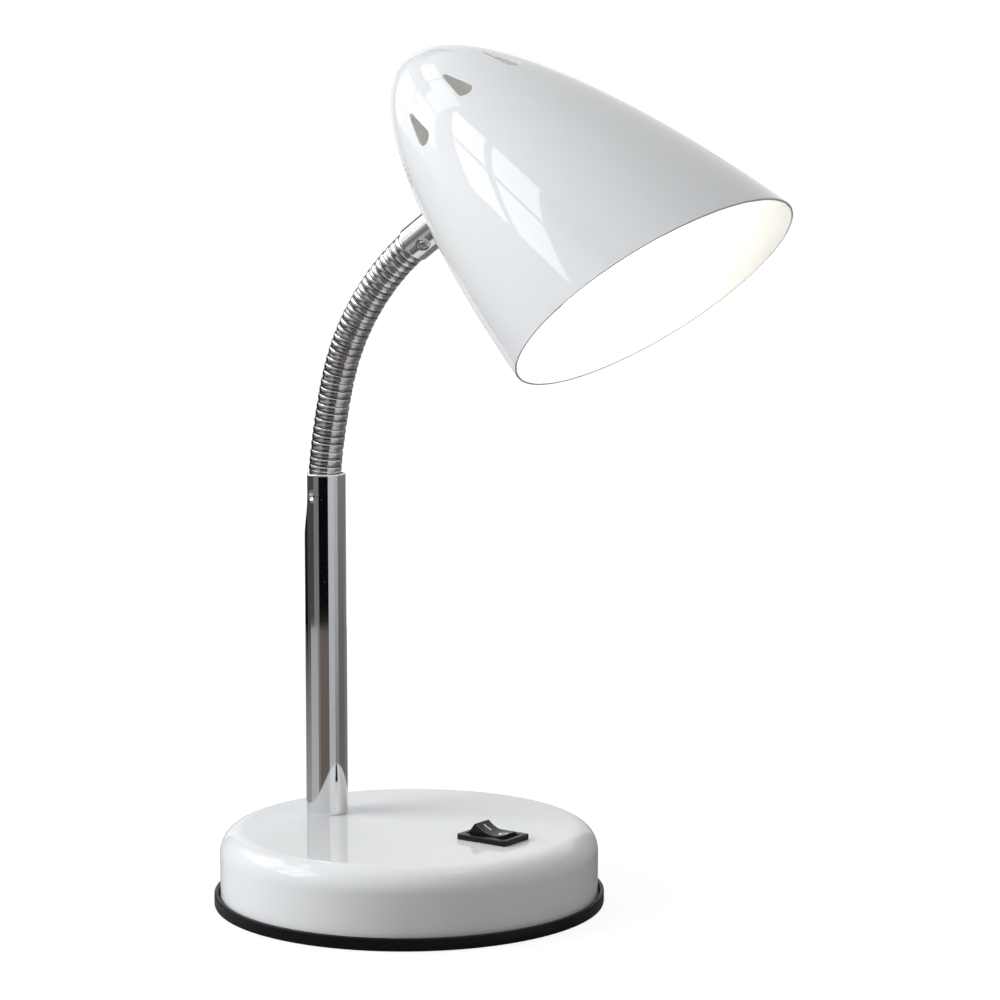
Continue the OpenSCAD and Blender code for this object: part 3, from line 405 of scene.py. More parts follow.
FINISHES: dict[Slot, Finish] = {
    finish.slot: finish
    for finish in (
        Enamel(Slot.ENAMEL, (0.83, 0.845, 0.855), (0.815, 0.832, 0.845), 40.0, (0.012, 0.03), 30.0,
               0.9, 0.0008, specular=0.28, peel_depth=0.003),
        Moulding(Slot.TRAY, (0.0045, 0.0045, 0.005), (0.003, 0.003, 0.0035), 15.0, (0.34, 0.46),
                 6.0, 0.35, 0.006, specular=0.2),
        FoamRubber(Slot.FOAM, (0.03, 0.03, 0.033), (0.02, 0.02, 0.022), 6.0, (0.85, 0.95), 4.0,
                   0.7, 0.12, specular=0.2),
        Finish(Slot.CASTING, (0.1, 0.1, 0.105), (0.04, 0.035, 0.033), 5.0, (0.55, 0.8), 3.0,
               0.9, 0.12, metal=0.6),
        PlatedSteel(Slot.ZINC, (0.66, 0.67, 0.7), (0.6, 0.6, 0.58), 6.0, (0.22, 0.38), 5.0,
                    0.3, 0.003, metal=1.0),
        Chrome(Slot.CHROME, (0.86, 0.865, 0.87), (0.82, 0.82, 0.82), 25.0, (0.03, 0.07), 12.0,
               0.4, 0.02, metal=1.0),
        GroovedChrome(Slot.NECK, (0.84, 0.835, 0.83), (0.76, 0.75, 0.74), 12.0, (0.08, 0.16), 4.0,
                      0.4, 0.01, metal=1.0, wave=3.0, wave_depth=0.006),
        PlatedSteel(Slot.BRASS, (0.72, 0.55, 0.27), (0.6, 0.43, 0.2), 5.0, (0.2, 0.36), 4.0,
                    0.3, 0.003, metal=1.0),
        Moulding(Slot.SWITCH, (0.006, 0.006, 0.007), (0.004, 0.004, 0.005), 5.0, (0.22, 0.34), 2.5,
                 0.15, 0.0015, specular=0.25),
        Moulding(Slot.GLAND, (0.02, 0.02, 0.021), (0.012, 0.012, 0.013), 6.0, (0.45, 0.6), 3.0,
                 0.25, 0.005),
        Moulding(Slot.BLOCK, (0.82, 0.82, 0.78), (0.76, 0.76, 0.71), 6.0, (0.4, 0.52), 4.0,
                 0.3, 0.003),
        Finish(Slot.LEAD, (0.85, 0.85, 0.82), (0.78, 0.78, 0.74), 8.0, (0.38, 0.5), 3.0,
               0.5, 0.01),
        Finish(Slot.CORE, (0.12, 0.05, 0.025), (0.09, 0.035, 0.018), 6.0, (0.35, 0.48), 3.0,
               0.4, 0.008),
        Moulding(Slot.HOLDER, (0.74, 0.7, 0.62), (0.68, 0.63, 0.54), 7.0, (0.25, 0.38), 5.0,
                 0.3, 0.003),
        OpalGlass(Slot.BULB, (0.93, 0.93, 0.91), (0.9, 0.9, 0.88), 12.0, (0.2, 0.3), 8.0,
                  1.5, 0.001),
        OpalGlass(Slot.OPAL, (0.95, 0.95, 0.94), (0.93, 0.93, 0.92), 15.0, (0.16, 0.22), 10.0,
                  2.0, 0.001, strength=5.0),
        PlatedSteel(Slot.CAP, (0.68, 0.67, 0.63), (0.6, 0.59, 0.55), 4.0, (0.2, 0.34), 3.0,
                    0.3, 0.003, metal=1.0),
        Finish(Slot.INSULATOR, (0.015, 0.015, 0.017), (0.008, 0.008, 0.009), 3.0, (0.05, 0.12), 2.0,
               0.8, 0.006),
    )
}


class Paintshop:
    """Keeps one material for each slot."""

    def __init__(self) -> None:
        """Starts with no material made."""
        self.made: dict[Slot, bpy.types.Material] = {}

    def material(self, slot: Slot) -> bpy.types.Material:
        """Gives the slot's material, which is made the first time."""
        if slot not in self.made:
            self.made[slot] = FINISHES[slot].material()
        return self.made[slot]


# ------------------------------------------------------------------ workpieces


def arc(centre: tuple[float, float], r: float, start: float, end: float,
        steps: int) -> list[tuple[float, float]]:
    """Gives the points of an arc in a profile.

    Args:
        centre: Its centre, as radius and height.
        r: Its radius.
        start: Angle of its first point in degrees, 0 pointing outwards and 90 up.
        end: Angle of its last point.
        steps: Number of runs between its points.

    Returns:
        The points, both ends among them.
    """
    angles = [math.radians(start + (end - start) * i / steps) for i in range(steps + 1)]
    return [(centre[0] + r * math.cos(a), centre[1] + r * math.sin(a)) for a in angles]


class Workpiece:
    """A mesh on the bench, in millimetres."""

    def __init__(self) -> None:
        """Starts with nothing."""
        self.bm = bmesh.new()

    @classmethod
    def turned(cls, profile: Profile, steps: int = 96, closed: bool = False,
               start: float = 0.0) -> "Workpiece":
        """Turns a profile about the Z axis.

        Args:
            profile: Points as radius and height.
            steps: Number of faces around.
            closed: Whether the last point joins the first.
            start: Angle of the first column in degrees.

        Returns:
            The turned piece.
        """
        piece = cls()
        verts = [piece.bm.verts.new((r, 0.0, z)) for r, z in profile]
        pairs = list(zip(verts, verts[1:]))
        if closed:
            pairs.append((verts[-1], verts[0]))
        edges = [piece.bm.edges.new(pair) for pair in pairs]
        bmesh.ops.spin(piece.bm, geom=verts + edges, cent=(0, 0, 0), axis=(0, 0, 1), dvec=(0, 0, 0),
                       angle=math.tau, steps=steps, use_merge=True)
        return piece.merged().moved(Matrix.Rotation(math.radians(start), 4, "Z"))

    @classmethod
    def block(cls, low: Sequence[float], high: Sequence[float]) -> "Workpiece":
        """Makes a block between two corners."""
        piece = cls()
        size = Vector(high) - Vector(low)
        middle = (Vector(high) + Vector(low)) / 2
        fit = Matrix.Translation(middle) @ Matrix.Diagonal((*size, 1.0))
        bmesh.ops.create_cube(piece.bm, size=1.0, matrix=fit)
        return piece

    @classmethod
    def rod(cls, r: float, low: float, high: float, sides: int = 48) -> "Workpiece":
        """Makes a plain rod along Z."""
        piece = cls()
        fit = Matrix.Translation((0, 0, (low + high) / 2))
        bmesh.ops.create_cone(piece.bm, cap_ends=True, segments=sides, radius1=r, radius2=r,
                              depth=high - low, matrix=fit)
        return piece

    @classmethod
    def plate(cls, outline: Profile, low: float, high: float) -> "Workpiece":
        """Makes a plate from an outline in the XZ plane, with its faces at two values of Y."""
        piece = cls()
        verts = [piece.bm.verts.new((x, low, z)) for x, z in outline]
        face = piece.bm.faces.new(verts)
        grown = bmesh.ops.extrude_face_region(piece.bm, geom=[face])
        moved = [v for v in grown["geom"] if isinstance(v, bmesh.types.BMVert)]
        bmesh.ops.translate(piece.bm, verts=moved, vec=(0, high - low, 0))
        return piece.merged()

    @classmethod
    def ring(cls, outer_r: float, inner_r: float, sides: int) -> "Workpiece":
        """Makes a flat ring around Z."""
        piece = cls()
        rims = [bmesh.ops.create_circle(piece.bm, segments=sides, radius=r)["verts"]
                for r in (outer_r, inner_r)]
        loops = {edge for rim in rims for vert in rim for edge in vert.link_edges}
        bmesh.ops.bridge_loops(piece.bm, edges=list(loops))
        return piece

    def merged(self) -> "Workpiece":
        """Joins vertices that meet and turns the faces outwards."""
        bmesh.ops.remove_doubles(self.bm, verts=self.bm.verts, dist=1e-4)
        bmesh.ops.recalc_face_normals(self.bm, faces=self.bm.faces)
        return self

    def moved(self, matrix: Matrix) -> "Workpiece":
        """Moves the whole piece."""
        bmesh.ops.transform(self.bm, matrix=matrix, verts=self.bm.verts)
        return self

    def shaped(self, form: Callable[[Vector], Vector]) -> "Workpiece":
        """Moves each vertex to where a function says.

        Args:
            form: Gives the new place of a vertex from its place.

        Returns:
            The piece.
        """
        for vert in self.bm.verts:
            vert.co = form(vert.co.copy())
        return self

    def softened(self, width: float, segments: int = 3, above: float = 35.0,
                 where: Callable[[bmesh.types.BMEdge], bool] | None = None) -> "Workpiece":
        """Rounds the sharp edges.

        Args:
            width: Width of the rounding.
            segments: Number of faces across it.
            above: Smallest angle between two faces, in degrees, that counts as sharp.
            where: Picks among the sharp edges, or None for all of them.

        Returns:
            The piece.
        """
        limit = math.radians(above)
        sharp = [edge for edge in self.bm.edges
                 if len(edge.link_faces) == 2 and edge.calc_face_angle(0.0) > limit
                 and (where is None or where(edge))]
        bmesh.ops.bevel(self.bm, geom=sharp, offset=width, offset_type="OFFSET", segments=segments,
                        profile=0.5, affect="EDGES", clamp_overlap=True, material=-1)
        return self

    def with_(self, *others: "Workpiece") -> "Workpiece":
        """Adds other pieces to this one as they are."""
        for other in others:
            mesh = bpy.data.meshes.new("loose")
            other.bm.to_mesh(mesh)
            self.bm.from_mesh(mesh)
            bpy.data.meshes.remove(mesh)
        return self

    def copy(self) -> "Workpiece":
        """Gives a copy."""
        return Workpiece().with_(self)

    def through(self, fit: Callable[[bpy.types.Object], None]) -> "Workpiece":
        """Runs the piece through modifiers.

        Args:
            fit: Puts the modifiers on the object that it is given.

        Returns:
            The piece as the modifiers leave it.
        """
        before = set(bpy.data.objects)
        target = self.as_object("bench", 1.0)
        fit(target)
        evaluated = target.evaluated_get(bpy.context.evaluated_depsgraph_get())
        mesh = bpy.data.meshes.new_from_object(evaluated)
        self.bm.free()
        self.bm = bmesh.new()
        self.bm.from_mesh(mesh)
        bpy.data.meshes.remove(mesh)
        for spare in set(bpy.data.objects) - before:
            bpy.data.objects.remove(spare)
        return self

    def less(self, *cutters: "Workpiece") -> "Workpiece":
        """Cuts other pieces out of this one."""

        def fit(target: bpy.types.Object) -> None:
            """Puts one boolean for each cutter on the object."""
            for cutter in cutters:
                modifier = target.modifiers.new("cut", "BOOLEAN")
                modifier.operation = "DIFFERENCE"
                modifier.solver = "EXACT"
                modifier.object = cutter.as_object("cutter", 1.0)

        return self.through(fit)

    def walled(self, thickness: float, offset: float = -1.0, even: bool = True) -> "Workpiece":
        """Gives an open skin a wall.

        Args:
            thickness: Thickness of the wall.
            offset: -1 for a wall on the skin's inner side, or 0 for one on both sides.
            even: Whether the wall keeps its thickness at the bends.

        Returns:
            The piece.
        """

        def fit(target: bpy.types.Object) -> None:
            """Puts a solidify on the object."""
            modifier = target.modifiers.new("wall", "SOLIDIFY")
            modifier.thickness = thickness
            modifier.offset = offset
            modifier.use_even_offset = even

        return self.through(fit)

    def as_object(self, name: str, scale: float = MM) -> bpy.types.Object:
        """Makes an object of the piece.

        Args:
            name: Name of the object.
            scale: Factor from millimetres.

        Returns:
            The object, at the origin.
        """
        mesh = bpy.data.meshes.new(name)
        self.bm.to_mesh(mesh)
        mesh.transform(Matrix.Scale(scale, 4))
        obj = bpy.data.objects.new(name, mesh)
        bpy.context.scene.collection.objects.link(obj)
        return obj


def cross_recess(length: float, width: float, low: float, high: float) -> list[Workpiece]:
    """Gives the two cutters of a screw's cross recess.

    Args:
        length: Length of each arm, across the head.
        width: Width of an arm.
        low: Height that the cutters start at.
        high: Height that they end at.

    Returns:
        The cutters.
    """
    halves = ((length / 2, width / 2), (width / 2, length / 2))
    return [Workpiece.block((-x, -y, low), (x, y, high)) for x, y in halves]


# ------------------------------------------------------------------ the lamp's lines


@dataclass(frozen=True)
class NeckLine:
    """Line of the neck at rest, from the stem to the collar."""

    stem_x: float = -37.8
    stem_top: float = 152.5
    first_up: float = 0.4
    pitch: float = 8.6
    bends: tuple[float, ...] = (7, 3, 1.5, 2, 4.5, 6, 6, 5.5, 5, 5, 5.5, 5)

    def lean(self, k: int) -> float:
        """Gives the neck's lean in degrees after its first k pivots."""
        return float(sum(self.bends[:k]))

    def pivot(self, k: int) -> Vector:
        """Gives the place of pivot k, counted from 1."""
        place = Vector((self.stem_x, 0.0, self.stem_top + self.first_up))
        for i in range(1, k):
            lean = math.radians(self.lean(i))
            place += self.pitch * Vector((math.sin(lean), 0.0, math.cos(lean)))
        return place

    def at(self, k: int) -> Matrix:
        """Gives the frame at pivot k, with +Z along the neck beyond it."""
        turn = Matrix.Rotation(math.radians(self.lean(k)), 4, "Y")
        return Matrix.Translation(self.pivot(k)) @ turn

    @property
    def links(self) -> int:
        """Number of links."""
        return len(self.bends) - 1

    @property
    def head(self) -> Matrix:
        """Frame at the last pivot."""
        return self.at(self.links + 1)


@dataclass(frozen=True)
class BellLine:
    """Line of the bell shade, from its apex to its rim."""

    nose: float = 12.79
    slow: float = 0.0227
    slow_rim: float = 0.0001
    rim_at: float = 127.3
    rim_slant: float = 15.4
    neck_to_axis: float = 51.2
    apex_to_neck: float = 55.6
    turn: float = 72.0

    def radius(self, s: float) -> float:
        """Gives the outer radius at a distance from the apex."""
        return math.sqrt(max(0.0, 2 * self.nose * s - self.slow * s**2 - self.slow_rim * s**3))

    def flare(self, s: float) -> float:
        """Gives the angle in radians between the outline and the axis."""
        slope = 2 * self.nose - 2 * self.slow * s - 3 * self.slow_rim * s**2
        return math.atan2(slope / 2, self.radius(s))

    def rim(self, angle: float) -> float:
        """Gives the distance of the slanted rim from the apex at an angle around the axis."""
        slant = math.tan(math.radians(self.rim_slant))
        s = self.rim_at
        for _ in range(ROUNDS):
            s = self.rim_at - self.radius(s) * math.cos(angle) * slant
        return s

    def frame(self, neck: NeckLine) -> Matrix:
        """Gives the frame at the apex, with +Z towards the rim and +X towards the neck."""
        out = Matrix.Translation((0, 0, self.neck_to_axis))
        turn = Matrix.Rotation(math.radians(self.turn), 4, "Y")
        return neck.head @ out @ turn @ Matrix.Translation((0, 0, -self.apex_to_neck))

    def neck_height(self, x: float, y: float, gap: float = 0.05) -> float:
        """Gives how far up the neck's direction its point (x, y) reaches the shade.

        Args:
            x: Distance across the neck in the plane that the lamp leans in.
            y: Distance across the neck, sideways.
            gap: Gap that is left to the shade.

        Returns:
            Height above the last pivot.
        """
        turn = math.radians(self.turn)
        low, high = 0.0, self.neck_to_axis
        for _ in range(ROUNDS):
            z = (low + high) / 2
            back = z - self.neck_to_axis
            across = x * math.cos(turn) - back * math.sin(turn)
            s = self.apex_to_neck + x * math.sin(turn) + back * math.cos(turn)
            if math.hypot(across, y) > self.radius(s) + gap:
                low = z
            else:
                high = z
        return low


NECK = NeckLine()
BELL = BellLine()
SIDEWAYS = Matrix.Rotation(QUARTER, 4, "Y")  # turns a rod that stands up to lie along +X


# ------------------------------------------------------------------ sub-assemblies


@dataclass
class Assembly(ABC):
    """A group of pieces that is built and dressed together."""

    shop: Paintshop

    @abstractmethod
    def build(self) -> None:
        """Builds the pieces."""

    def publish(self, name: str, work: Workpiece, slot: Slot, body: str,
                stands_for: Iterable[str] = (), sharp: float = 40.0) -> None:
        """Makes a finished piece of a workpiece.

        Args:
            name: Name of the piece.
            work: Its mesh.
            slot: Material slot that it takes its finish from.
            body: Body that it rides on.
            stands_for: CAD nodes that it replaces.
            sharp: Angle in degrees above which an edge stays sharp.
        """
        limit = math.radians(sharp)
        for face in work.bm.faces:
            face.smooth = True
        for edge in work.bm.edges:
            edge.smooth = len(edge.link_faces) == 2 and edge.calc_face_angle(0.0) < limit
        obj = work.as_object(name)
        obj.data.materials.append(self.shop.material(slot))
        weighted = obj.modifiers.new("even_shading", "WEIGHTED_NORMAL")
        weighted.keep_sharp = True
        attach(obj, body)
        if stands_for:
            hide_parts(*stands_for)
        log.info("%s: %d faces, rides on %s", name, len(obj.data.polygons), body)

    def publish_all(self, body: str,
                    rows: Iterable[tuple[str, Workpiece, Slot, Iterable[str]]]) -> None:
        """Publishes pieces that ride on one body.

        Args:
            body: Body that they ride on.
            rows: Name, mesh, slot and replaced nodes of each piece.
        """
        for name, work, slot, stands_for in rows:
            self.publish(name, work, slot, body, stands_for)


@dataclass
class Base(Assembly):
    """Weighted base: enamelled shell, black tray, foam pad, tray screws and inlet bush."""

    r: float = 67.8
    height: float = 27.6
    fillet: float = 8.5
    wall: float = 1.0
    tray_low: float = 0.3
    tray_top: float = 2.8
    lip_inner_r: float = 68.5
    tray_r: float = 70.0
    lip_h: float = 4.8
    pad_r: float = 54.0
    pad_t: float = 1.2
    pad_edge: float = 0.35
    screw_circle: float = 59.0
    screws_n: int = 3
    screw_r: float = 1.2
    screw_thread_r: float = 1.5
    screw_pitch: float = 0.8
    recess_r: float = 3.2
    bore_r: float = 1.9
    post_r: float = 3.5
    post_bore_r: float = 1.55
    stem_hole_r: float = 5.2
    cutout_x: tuple[float, float] = (27.35, 46.65)
    cutout_w: float = 12.9
    inlet_h: float = 12.0
    inlet_r: float = 4.5

    def build(self) -> None:
        """Builds the base."""
        self.publish_all("base", (
            ("enamelled_base_shell", self.shell(), Slot.ENAMEL, ["base_shell"]),
            ("black_base_tray", self.tray(), Slot.TRAY, ["base_tray"]),
            ("foam_desk_pad", self.pad(), Slot.FOAM, ["foot_pad"]),
            ("tray_fixing_screws", self.screws(), Slot.ZINC, ["tray_screws"]),
            ("rear_lead_bush", self.bush(), Slot.GLAND, ["cord_gland"]),
        ))

    def screw_places(self) -> list[Matrix]:
        """Gives the frames of the tray screws."""
        out = Matrix.Translation((self.screw_circle, 0, 0))
        return [Matrix.Rotation(math.tau * i / self.screws_n, 4, "Z") @ out
                for i in range(self.screws_n)]

    def shell(self) -> Workpiece:
        """Pressed cap with its holes and, inside it, its screw posts."""
        flat_r = self.r - self.fillet
        corner_h = self.height - self.fillet
        rings = [(flat_r * i / 8, self.height) for i in range(8)]
        side = [(self.r, self.tray_top + (corner_h - self.tray_top) * i / 5)
                for i in (4, 3, 2, 1, 0)]
        corner = arc((flat_r, corner_h), self.fillet, 90, 0, 14)
        skin = Workpiece.turned(rings + corner + side, 192)
        shell = skin.walled(self.wall).softened(0.2, 2, 60)
        under, over = 20, 40  # heights that the cutters of the top wall span
        stem_hole = Workpiece.rod(self.stem_hole_r, under, over)
        half_w = self.cutout_w / 2
        cutout = Workpiece.block((self.cutout_x[0], -half_w, under),
                                 (self.cutout_x[1], half_w, over))
        inlet = Workpiece.rod(self.inlet_r, -75, -60)
        shell.less(stem_hole.moved(Matrix.Translation((NECK.stem_x, 0, 0))), cutout,
                   inlet.moved(Matrix.Translation((0, 0, self.inlet_h)) @ SIDEWAYS))
        post_top = self.height - 1.4
        post = Workpiece.turned(
            [(self.post_bore_r, self.tray_top), (self.post_r - 0.2, self.tray_top),
             (self.post_r, self.tray_top + 0.2), (self.post_r, post_top),
             (self.post_bore_r, post_top)], 32, True)
        for place in self.screw_places():
            shell.with_(post.copy().moved(place))
        return shell

    def tray(self) -> Workpiece:
        """Moulded tray with a rounded lip, a recess for the pad and holes for the screws."""
        top = self.lip_h
        profile = (
            [(self.pad_r + 0.3, self.tray_low), (self.tray_r - 0.5, self.tray_low),
             (self.tray_r - 0.14, self.tray_low + 0.14), (self.tray_r, self.tray_low + 0.5)]
            + arc((self.tray_r - 0.5, top - 0.5), 0.5, 0, 90, 4)
            + arc((self.lip_inner_r + 0.5, top - 0.5), 0.5, 90, 180, 4)
            + [(self.lip_inner_r, self.tray_top + 0.3), (self.lip_inner_r - 0.3, self.tray_top),
               (0.0, self.tray_top)]
            + [(0.0, self.pad_t), (self.pad_r + 0.1, self.pad_t),
               (self.pad_r + 0.3, self.pad_t - 0.2)]
        )
        tray = Workpiece.turned(profile, 192, True)
        holes = [Workpiece.rod(r, -1, high).moved(place)
                 for r, high in ((self.recess_r, 1.7), (self.bore_r, 5))
                 for place in self.screw_places()]
        return tray.less(*holes)

    def pad(self) -> Workpiece:
        """Foam disc with a soft edge."""
        c = self.pad_edge
        edge = arc((self.pad_r - c, c), c, -90, 0, 4) + [(self.pad_r, self.pad_t)]
        rings = [(self.pad_r * i / 9, 0.0) for i in range(9)]
        return Workpiece.turned(rings + edge + [(0.0, self.pad_t)], 160)

    def screws(self) -> Workpiece:
        """Three pan-head screws with cross recesses and threads."""
        foot, core, crest = self.tray_low, self.screw_r, self.screw_thread_r
        head = arc((1.8, foot + 1.0), 1.0, -90, 0, 5)
        pan = [(0.0, foot)] + head + [(2.8, foot + 1.4), (1.45, foot + 1.4)]
        thread = []
        for i in range(11):
            low = foot + 1.7 + self.screw_pitch * i
            thread += [(core, low), (crest, low + 0.35), (crest, low + 0.45),
                       (core, low + self.screw_pitch)]
        tip = [(0.9, foot + 11.2), (0.0, foot + 11.4)]
        screw = Workpiece.turned(pan + thread + tip, 40)
        screw.less(*cross_recess(3.4, 0.7, -1, foot + 0.8))
        result = Workpiece()
        for place in self.screw_places():
            result.with_(screw.copy().moved(place))
        return result

    def bush(self) -> Workpiece:
        """Bush in the rear wall, with a rounded flange and a flared bore."""
        bore, flange, neck, barb = 3.2, 6.0, 4.4, 5.4
        flange_t, length, c = 2.0, 10.0, 0.7
        profile = (
            arc((bore + c, c - flange_t), c, 180, 270, 4)
            + arc((flange - c, c - flange_t), c, -90, 0, 4)
            + [(flange, 0.0), (neck, 0.0), (neck, 1.3), (barb, 1.3), (barb, 2.2), (neck, 2.8),
               (neck, length - 0.4), (neck - 0.4, length), (bore, length)]
        )
        return Workpiece.turned(profile, 64, True).moved(
            Matrix.Translation((-self.r, 0, self.inlet_h)) @ SIDEWAYS)


@dataclass
class Stem(Assembly):
    """Chromed tube with the punched flat that locks the neck's root."""

    r: float = 7.6
    bore_r: float = 6.6
    low: float = 27.6
    flat_facing: float = -140.0
    flat_depth: float = 1.1
    flat_len: float = 24.0
    flat_run: float = 16.0
    flat_past: float = 4.0
    fine_len: float = 28.0
    fine_row: float = 0.4
    mark_facing: float = -91.0
    mark_r: float = 1.5
    mark_depth: float = 0.55
    mark_down: float = 8.0
    mark_rim: float = 0.09
    edge_r: float = 0.3

    def build(self) -> None:
        """Builds the stem."""
        self.publish("chromed_stem_tube", self.tube(), Slot.CHROME, "base", ["stem_tube"])

    def dented(self, place: Vector) -> Vector:
        """Gives where a point of the tube lies once its top is pressed flat and punched."""
        down = NECK.stem_top - place.z
        r = math.hypot(place.x, place.y)
        if down > self.flat_len + self.flat_past:
            return place
        angle = math.atan2(place.y, place.x)
        share = min(1.0, max(0.0, (self.flat_len - down) / self.flat_run))
        share = share * share * (3 - 2 * share)
        across = math.cos(angle - math.radians(self.flat_facing))
        limit = self.r - self.flat_depth * share
        if across > 0 and self.r * across > limit:
            r = limit / across - (self.r - r)
        side = self.r * (angle - math.radians(self.mark_facing))
        away = math.hypot(side, down - self.mark_down) / self.mark_r
        if away < 1.6:
            r -= self.mark_depth * (math.cos(math.pi * min(away, 1.0)) + 1) / 2
            r += self.mark_rim * max(0.0, 1 - abs(away - 1.15) / 0.4)
        return Vector((r * math.cos(angle), r * math.sin(angle), place.z))

    def tube(self) -> Workpiece:
        """Tube whose top is finely divided where it is pressed in."""
        top, c = NECK.stem_top, self.edge_r
        fine = top - self.fine_len
        rows = [self.low + 1.0, 60.0, 90.0, 115.0] + [fine + self.fine_row * i for i in range(69)]
        outer = arc((self.r - c, self.low + c), c, -90, 0, 3) + [(self.r, z) for z in rows]
        lip = arc((self.r - c, top - c), c, 0, 90, 3) + [(self.bore_r, top)]
        inner = [(self.bore_r, fine), (self.bore_r, self.low)]
        tube = Workpiece.turned(outer + lip + inner, 144, True).shaped(self.dented)
        return tube.moved(Matrix.Translation((NECK.stem_x, 0, 0)))


@dataclass
class Gooseneck(Assembly):
    """Strip-wound neck: banded links that ride on ball lips, from the root to the collar."""

    r: float = 5.93
    groove_r: float = 5.5
    ledge_r: float = 5.8
    ledge: float = 0.3
    bore_r: float = 3.3
    ball_r: float = 5.72
    socket_r: float = 5.8
    foot_gap: float = 0.7
    end_gap: float = 0.52
    bands: int = 3
    band_gap: float = 0.74
    round_r: float = 0.16
    crown: float = 0.09
    # share of painted shade on the folded ledge
    ledge_shade: float = 0.3
    # width over which painted shade fades in towards the bands' rolled edges
    edge_fade: float = 0.12
    reach: float = 2.0
    root_len: float = 20.0
    root_edge: float = 0.3
    throat: float = 0.5
    collar_r: float = 6.65
    collar_edge: float = 0.45
    seat_r: float = 2.5
    seat_depth: float = 0.35
    screw_up: float = 7.5
    screw_facing: float = -49.0
    screw_r: float = 1.5
    lead_r: float = 2.2
    lead_gap: float = 0.8

    def build(self) -> None:
        """Builds the root, the links and the collar."""
        root = Matrix.Translation((NECK.stem_x, 0, NECK.stem_top + NECK.first_up))
        self.grooved("neck_root_tube", self.root(), root, "base", "neck_root")
        link = self.link()
        for k in range(1, NECK.links + 1):
            name = f"neck_link_{k:02d}"
            self.grooved(f"wound_{name}", link.copy(), NECK.at(k), f"link_{k:02d}", name)
            self.publish(f"neck_lead_stretch_{k:02d}", self.lead(k).moved(NECK.at(k)), Slot.LEAD,
                         f"link_{k:02d}", ["neck_lead"])
        self.publish("chromed_collar", self.collar(), Slot.CHROME, "head", ["neck_collar"])
        self.publish("collar_grub_screw", self.screw(), Slot.ZINC, "head", ["collar_screw"])

    def grooved(self, name: str, work: Workpiece, place: Matrix, body: str, node: str) -> None:
        """Publishes a banded piece, with its grooves marked for the finish's painted shade.

        Args:
            name: Name of the piece.
            work: Its mesh, in the frame of its own pivot.
            place: Frame that it goes to.
            body: Body that it rides on.
            node: CAD node that it replaces.
        """
        layer = work.bm.verts.layers.float.new("groove")
        for vert in work.bm.verts:
            vert[layer] = self.painted_groove_shade(math.hypot(vert.co.x, vert.co.y), vert.co.z)
        self.publish(name, work.moved(place), Slot.NECK, body, [node], sharp=30.0)

    def painted_groove_shade(self, r: float, z: float) -> float:
        """Gives the share of painted groove shade at a radius and a height above the piece's own
        pivot.
        """
        # painted shade: full in the gap at the ball lip's foot, part on the ledge, fading in at the
        # bands' edges
        lip = min((z - pivot for pivot in (0.0, NECK.pitch)), key=abs)
        if r < self.ball_r + 0.01 and -self.end_gap - 0.01 < lip < self.foot_gap:
            return float(lip < 0.05 - self.end_gap)
        if abs(r - self.ledge_r) < 0.01:
            return self.ledge_shade
        return min(1.0, max(0.0, (self.r - r) / self.edge_fade))

    def lip(self, pivot: float) -> list[tuple[float, float]]:
        """Gives the profile of a ball lip around a pivot at a height, from its foot to the bore."""
        start = -math.degrees(math.asin(self.end_gap / self.ball_r))
        end = math.degrees(math.asin(self.reach / self.ball_r))
        return arc((0.0, pivot), self.ball_r, start, end, 9) + [(self.bore_r, pivot + self.reach)]

    def socket(self) -> list[tuple[float, float]]:
        """Gives the profile of a socket around its pivot, from the bore to its mouth."""
        top = math.degrees(math.acos(self.bore_r / self.socket_r))
        low = math.degrees(math.asin(self.foot_gap / self.socket_r))
        return arc((0.0, 0.0), self.socket_r, top, low, 10)

    def band(self, low: float, high: float) -> list[tuple[float, float]]:
        """Gives the profile of one band of the winding, with rolled edges and a faint crown."""
        r, c = self.r, self.round_r
        rise = [(r + self.crown * 0.8, low + (high - low) * 0.25),
                (r + self.crown, (low + high) / 2),
                (r + self.crown * 0.8, low + (high - low) * 0.75)]
        return arc((r - c, low + c), c, -90, 0, 3) + rise + arc((r - c, high - c), c, 0, 90, 3)

    def groove(self, low: float, high: float) -> list[tuple[float, float]]:
        """Gives the profile of the groove between two bands, with the folded ledge midway."""
        g, middle = self.groove_r, (low + high) / 2
        start, end = middle - self.ledge / 2, middle + self.ledge / 2
        return [(g, low), (g, start - 0.02), (self.ledge_r, start), (self.ledge_r, end),
                (g, end + 0.02), (g, high)]

    def link(self) -> Workpiece:
        """One link in its own frame, with a socket at its foot and a ball lip at its end."""
        length = NECK.pitch - self.foot_gap - self.end_gap
        width = (length - (self.bands - 1) * self.band_gap) / self.bands
        profile: list[tuple[float, float]] = []
        for i in range(self.bands):
            low = self.foot_gap + i * (width + self.band_gap)
            profile += self.band(low, low + width)
            if i < self.bands - 1:
                profile += self.groove(low + width, low + width + self.band_gap)
        profile += self.lip(NECK.pitch)
        return Workpiece.turned(profile + self.socket(), 96, True)

    def lead(self, k: int) -> Workpiece:
        """Makes the lead's stretch inside link k, round at the pivots where the next ones join."""
        r, gap = self.lead_r, self.lead_gap
        foot = [(0.0, gap), (r, gap)] if k == 1 else arc((0.0, 0.0), r, -90.0, 0.0, 8)
        end = NECK.pitch - gap
        last = k == NECK.links
        top = [(r, end), (0.0, end)] if last else arc((0.0, NECK.pitch), r, 0.0, 90.0, 8)
        return Workpiece.turned([*foot, *top], steps=32)

